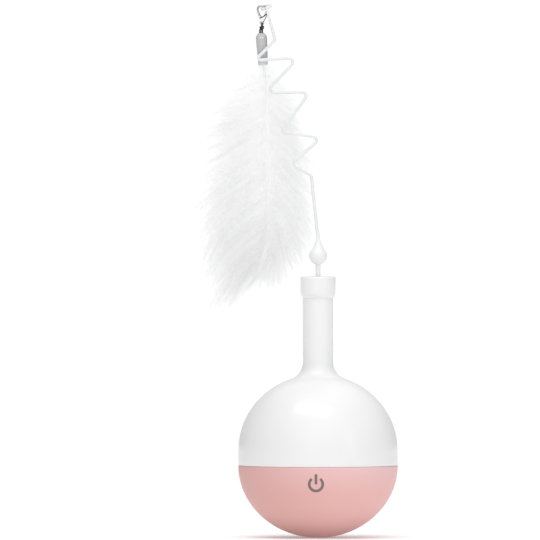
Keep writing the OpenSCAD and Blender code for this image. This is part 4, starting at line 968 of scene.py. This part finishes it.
THIN_FROM, THIN_FAST = 0.65, 1.8    # a barb's down thins out from this share of its length
PARTING = 0.3                       # how much thinner the down is along the quill
PARTING_WIDE = 8
PARTING_LOW, PARTING_RUN = 74, 14
TUFT_BACK, TUFT_SPREAD = 2.2, 0.9   # how far a tuft's end stands behind the quill's plane
BARB_SPREAD = 3.2
BACK_MOST = 9


def lies(marks, y):
    """The end and the slope of a barb that leaves the quill at this height."""
    for (y0, end0, slope0), (y1, end1, slope1) in zip(marks, marks[1:]):
        if y1 <= y:
            break
    t = (y - y0) / (y1 - y0)
    return Vector(end0).lerp(Vector(end1), t), slope0 + (slope1 - slope0) * t


def quill_at(y):
    """The quill's place and heading at a height."""
    for (x0, y0), (x1, y1) in zip(QUILL, QUILL[1:]):
        if y1 <= y:
            break
    t = (y - y0) / (y1 - y0)
    return Vector((x0 + (x1 - x0) * t, y)), Vector((x1 - x0, y1 - y0)).normalized()


def strand(points, radii, corners, faces):
    """Adds a closed three-sided hair that runs out to a point."""
    base = len(corners)
    for i, radius in enumerate(radii):
        ahead = (points[i + 1] - points[i]).normalized()
        side = ahead.cross(Vector((0.05, 1, 0.08))).normalized()
        back = ahead.cross(side)
        for k in range(3):
            angle = 2 * math.pi * k / 3
            corners.append(points[i] + radius * (math.cos(angle) * side + math.sin(angle) * back))
    corners.append(points[-1])
    rings = len(radii)
    faces.append((base + 2, base + 1, base))
    for i in range(rings - 1):
        for k in range(3):
            a, b = base + 3 * i + k, base + 3 * i + (k + 1) % 3
            faces.append((a, b, b + 3, a + 3))
    last = base + 3 * (rings - 1)
    for k in range(3):
        faces.append((last + k, last + (k + 1) % 3, last + 3))


def hair_piece(name, corners, faces):
    mesh = bpy.data.meshes.new(name)
    mesh.from_pydata(corners, [], faces)
    piece = bpy.data.objects.new(name, mesh)
    bpy.context.scene.collection.objects.link(piece)
    bpy.ops.object.select_all(action="DESELECT")
    piece.select_set(True)
    bpy.context.view_layer.objects.active = piece
    bpy.ops.object.mode_set(mode="EDIT")
    bpy.ops.mesh.select_all(action="SELECT")
    bpy.ops.mesh.normals_make_consistent(inside=False)
    bpy.ops.object.mode_set(mode="OBJECT")
    settle(piece, smooth=80)
    return piece


quill_path = [feather_point(FERRULE_LOW[0] + x, FERRULE_LOW[1] + y, -0.35) for x, y in QUILL]
quill = tube("quill", quill_path, QUILL_R, 14)
settle(quill, smooth=60)
quill_horn, shader, place = finish("quill_horn", Specular_IOR_Level=0.5)
fibre = noise(place, 0.0006)
feed(shader, Base_Color=tint(fibre, (0.9, 0.9, 0.9, 1), (0.95, 0.95, 0.95, 1)),
     Roughness=fibre * 0.1 + 0.3)
dress(quill, "feather", quill_horn, "feather_white", "feather_quill")

marabou, shader, place = finish("marabou", Specular_IOR_Level=0.2, Sheen_Weight=0.15)
silk = noise(place, 0.004, 3.0)
feed(shader, Base_Color=tint(silk, (0.96, 0.96, 0.96, 1), (0.985, 0.985, 0.985, 1)),
     Roughness=silk * 0.1 + 0.7)

chance = random.Random(11)
laid = {}


def room_in_front(y):
    """How far barbs may stand out towards the wand: little where they can swing past the cap."""
    return min(1.6 - 0.035 * y, 0.8 + 0.4 * max(0, y + 102))


def down_wanted(at, s, cover):
    """Layers of down at a point, for a barb of which share s lies behind it."""
    deep = FEATHER_AT.z + FERRULE_LOW[1] - at.z
    beside = at.x - FEATHER_AT.x - FERRULE_LOW[0]
    layers = COVER[0] + (COVER[1] - COVER[0]) * min(1, max(0, deep) / COVER_FULL)
    layers = layers + (COVER[2] - COVER[1]) * max(0, deep - COVER_LOW) / COVER_RUN
    layers = layers * (1 - THIN_FAST * max(0, s - THIN_FROM))
    aside = (beside + 0.5) / PARTING_WIDE
    below = max(0, deep - PARTING_LOW) / PARTING_RUN
    parting = math.exp(-aside ** 2 - below ** 2)
    return layers * cover * (1 - PARTING * parting)


def barb(root, bends, end, backs, hairs, cover, down):
    """One barb along a bent line from the quill. Down grows on it where the plume is still thin."""
    line = []
    for k in range(BARB_STEPS + 1):
        s = k / BARB_STEPS
        a, b, c, d = (1 - s) ** 3, 3 * s * (1 - s) ** 2, 3 * s * s * (1 - s), s ** 3
        flat = root * a + bends[0] * b + bends[1] * c + end * d
        back = backs[0] + (backs[1] - backs[0]) * s ** 1.3 + backs[2] * math.sin(math.pi * s)
        back = max(back, -room_in_front(flat.y))
        line.append(feather_point(FERRULE_LOW[0] + flat.x, FERRULE_LOW[1] + flat.y, back))
    radii = [BARB_R * (1 - 0.7 * k / BARB_STEPS) for k in range(BARB_STEPS)]
    strand(line, radii, barb_corners, barb_faces)
    span = (end - root).length
    for k in range(int(span)):
        s = k / span * BARB_STEPS
        at = line[int(s)].lerp(line[int(s) + 1], s - int(s))
        spot = (int(at.x + 100), int(at.z))
        laid[spot] = laid.get(spot, 0) + BARB_R * (2 - 1.4 * s / BARB_STEPS)
    count = int(span * hairs)
    for j in range(count):
        s = 0.02 + 0.95 * ((j + chance.random()) / count) ** 0.94
        k = min(int(s * BARB_STEPS), BARB_STEPS - 1)
        at = line[k].lerp(line[k + 1], s * BARB_STEPS - k)
        ahead = (line[k + 1] - line[k]).normalized()
        across = ahead.cross(Vector((0, 1, 0))).normalized() * chance.choice((-1, 1))
        # near the barb's end the hairs lie close to it
        loose = min(1, max(0, (1 - s) * span - 1.2) / 8)
        away = ahead * chance.uniform(0.8 - loose, 1.1)
        away = away + across * chance.uniform(0.2, 1.1) * (0.12 + 0.88 * loose)
        away = (away + Vector((0, chance.gauss(0.1, 0.35) * loose, 0))).normalized()
        reach = (DOWN_LONG + (DOWN_SHORT - DOWN_LONG) * s) * chance.uniform(0.4, 1.15)
        middle = at + away * reach / 2
        spot = (int(middle.x + 100), int(middle.z))
        if laid.get(spot, 0) < down_wanted(middle, s, cover):
            laid[spot] = laid.get(spot, 0) + reach * DOWN_R
            tip = at + away * reach
            level = tip.z - FEATHER_AT.z
            front = feather_point(0, level).y - room_in_front(level - FERRULE_LOW[1])
            tip.y = max(tip.y, front)
            strand([at, tip], [DOWN_R], *down)


barb_corners, barb_faces = [], []
for side, out, edge in (("left", -1, LEFT), ("right", 1, RIGHT)):
    upper, lower = ([], []), ([], [])
    low_y = edge[-1][0]
    seats = [low_y * (k + chance.uniform(0.25, 0.75)) / TUFTS for k in range(TUFTS)]
    tuft_backs = [chance.gauss(TUFT_BACK, TUFT_SPREAD) for _ in seats]
    tuft_longs = [chance.uniform(0.96, 1.1) for _ in seats]
    order = list(range(BARBS))
    chance.shuffle(order)
    for i in order:
        t = (i + chance.random()) / BARBS
        y = low_y * t
        tuft = min(range(TUFTS), key=lambda k: abs(seats[k] - y))
        off = (y - seats[tuft]) * TUFTS / low_y
        root, heading = quill_at(y)
        free_end, slope = lies(edge, y)
        end = free_end.lerp(lies(edge, seats[tuft])[0], 0.85 - 0.3 * t)
        length = (tuft_longs[tuft] - 0.2 * abs(off)) * chance.triangular(0.66, 1.06, 0.98)
        scatter = Vector((chance.gauss(0, 0.6), chance.gauss(0, 0.9)))
        end = root + (end - root) * length + scatter
        free_end = root + (free_end - root) * length + scatter
        span = (end - root).length
        outward = Vector((-heading.y, heading.x))
        outward = outward if outward.x * out > 0 else -outward
        leave = (outward * 0.8 + heading * chance.uniform(0.2, 0.75)).normalized()
        slope = math.radians(slope + chance.gauss(0, 10))
        arrive = Vector((out * math.cos(slope), -math.sin(slope)))
        back = tuft_backs[tuft] + chance.gauss(0, BARB_SPREAD)
        back = min(max(back, -room_in_front(end.y)), BACK_MOST)
        bends = [root + leave * span * 0.35, free_end - arrive * span * 0.33]
        backs = (chance.uniform(-0.2, 0.8), back, chance.uniform(-2.2, 2.8))
        barb(root, bends, end, backs, DOWN_PER_MM, 1, upper if t < 0.5 else lower)
    for _ in range(LOOSE_BARBS):
        # loose ones over the quill's upper end
        root = quill_at(chance.uniform(-14, 0))[0]
        lean = math.radians(out * chance.uniform(-10, 50))
        end = root + Vector((math.sin(lean), -math.cos(lean))) * chance.uniform(5, 11)
        bends = [root.lerp(end, 0.33), root.lerp(end, 0.66) + Vector((0, chance.gauss(0, 0.8)))]
        backs = (-0.7, chance.uniform(-1.6, -0.6), chance.uniform(-0.6, 0))
        barb(root, bends, end, backs, 1.4, 0.8, upper)
    for _ in range(FRONT_BARBS):
        # short barbs in front of the quill's lower half
        root = quill_at(chance.uniform(-84, -50))[0]
        root = root + Vector((chance.gauss(-1.5, 2.4), 0))
        lean = math.radians(chance.triangular(-44, 20, -8))
        end = root + Vector((math.sin(lean), -math.cos(lean))) * chance.uniform(9, 17)
        bends = [root.lerp(end, 0.33) + Vector((chance.gauss(0, 0.6), 0)), root.lerp(end, 0.66)]
        backs = (-0.7, chance.uniform(-0.8, -0.2), 0)
        barb(root, bends, end, backs, 2.0, 1.2, lower)
    for half, hairs in (("upper", upper), ("lower", lower)):
        down = hair_piece("down_" + side + "_" + half, *hairs)
        dress(down, "feather", marabou, "feather_white", "feather_vane")
barbs = hair_piece("barbs", barb_corners, barb_faces)
dress(barbs, "feather", marabou, "feather_white", "feather_vane")
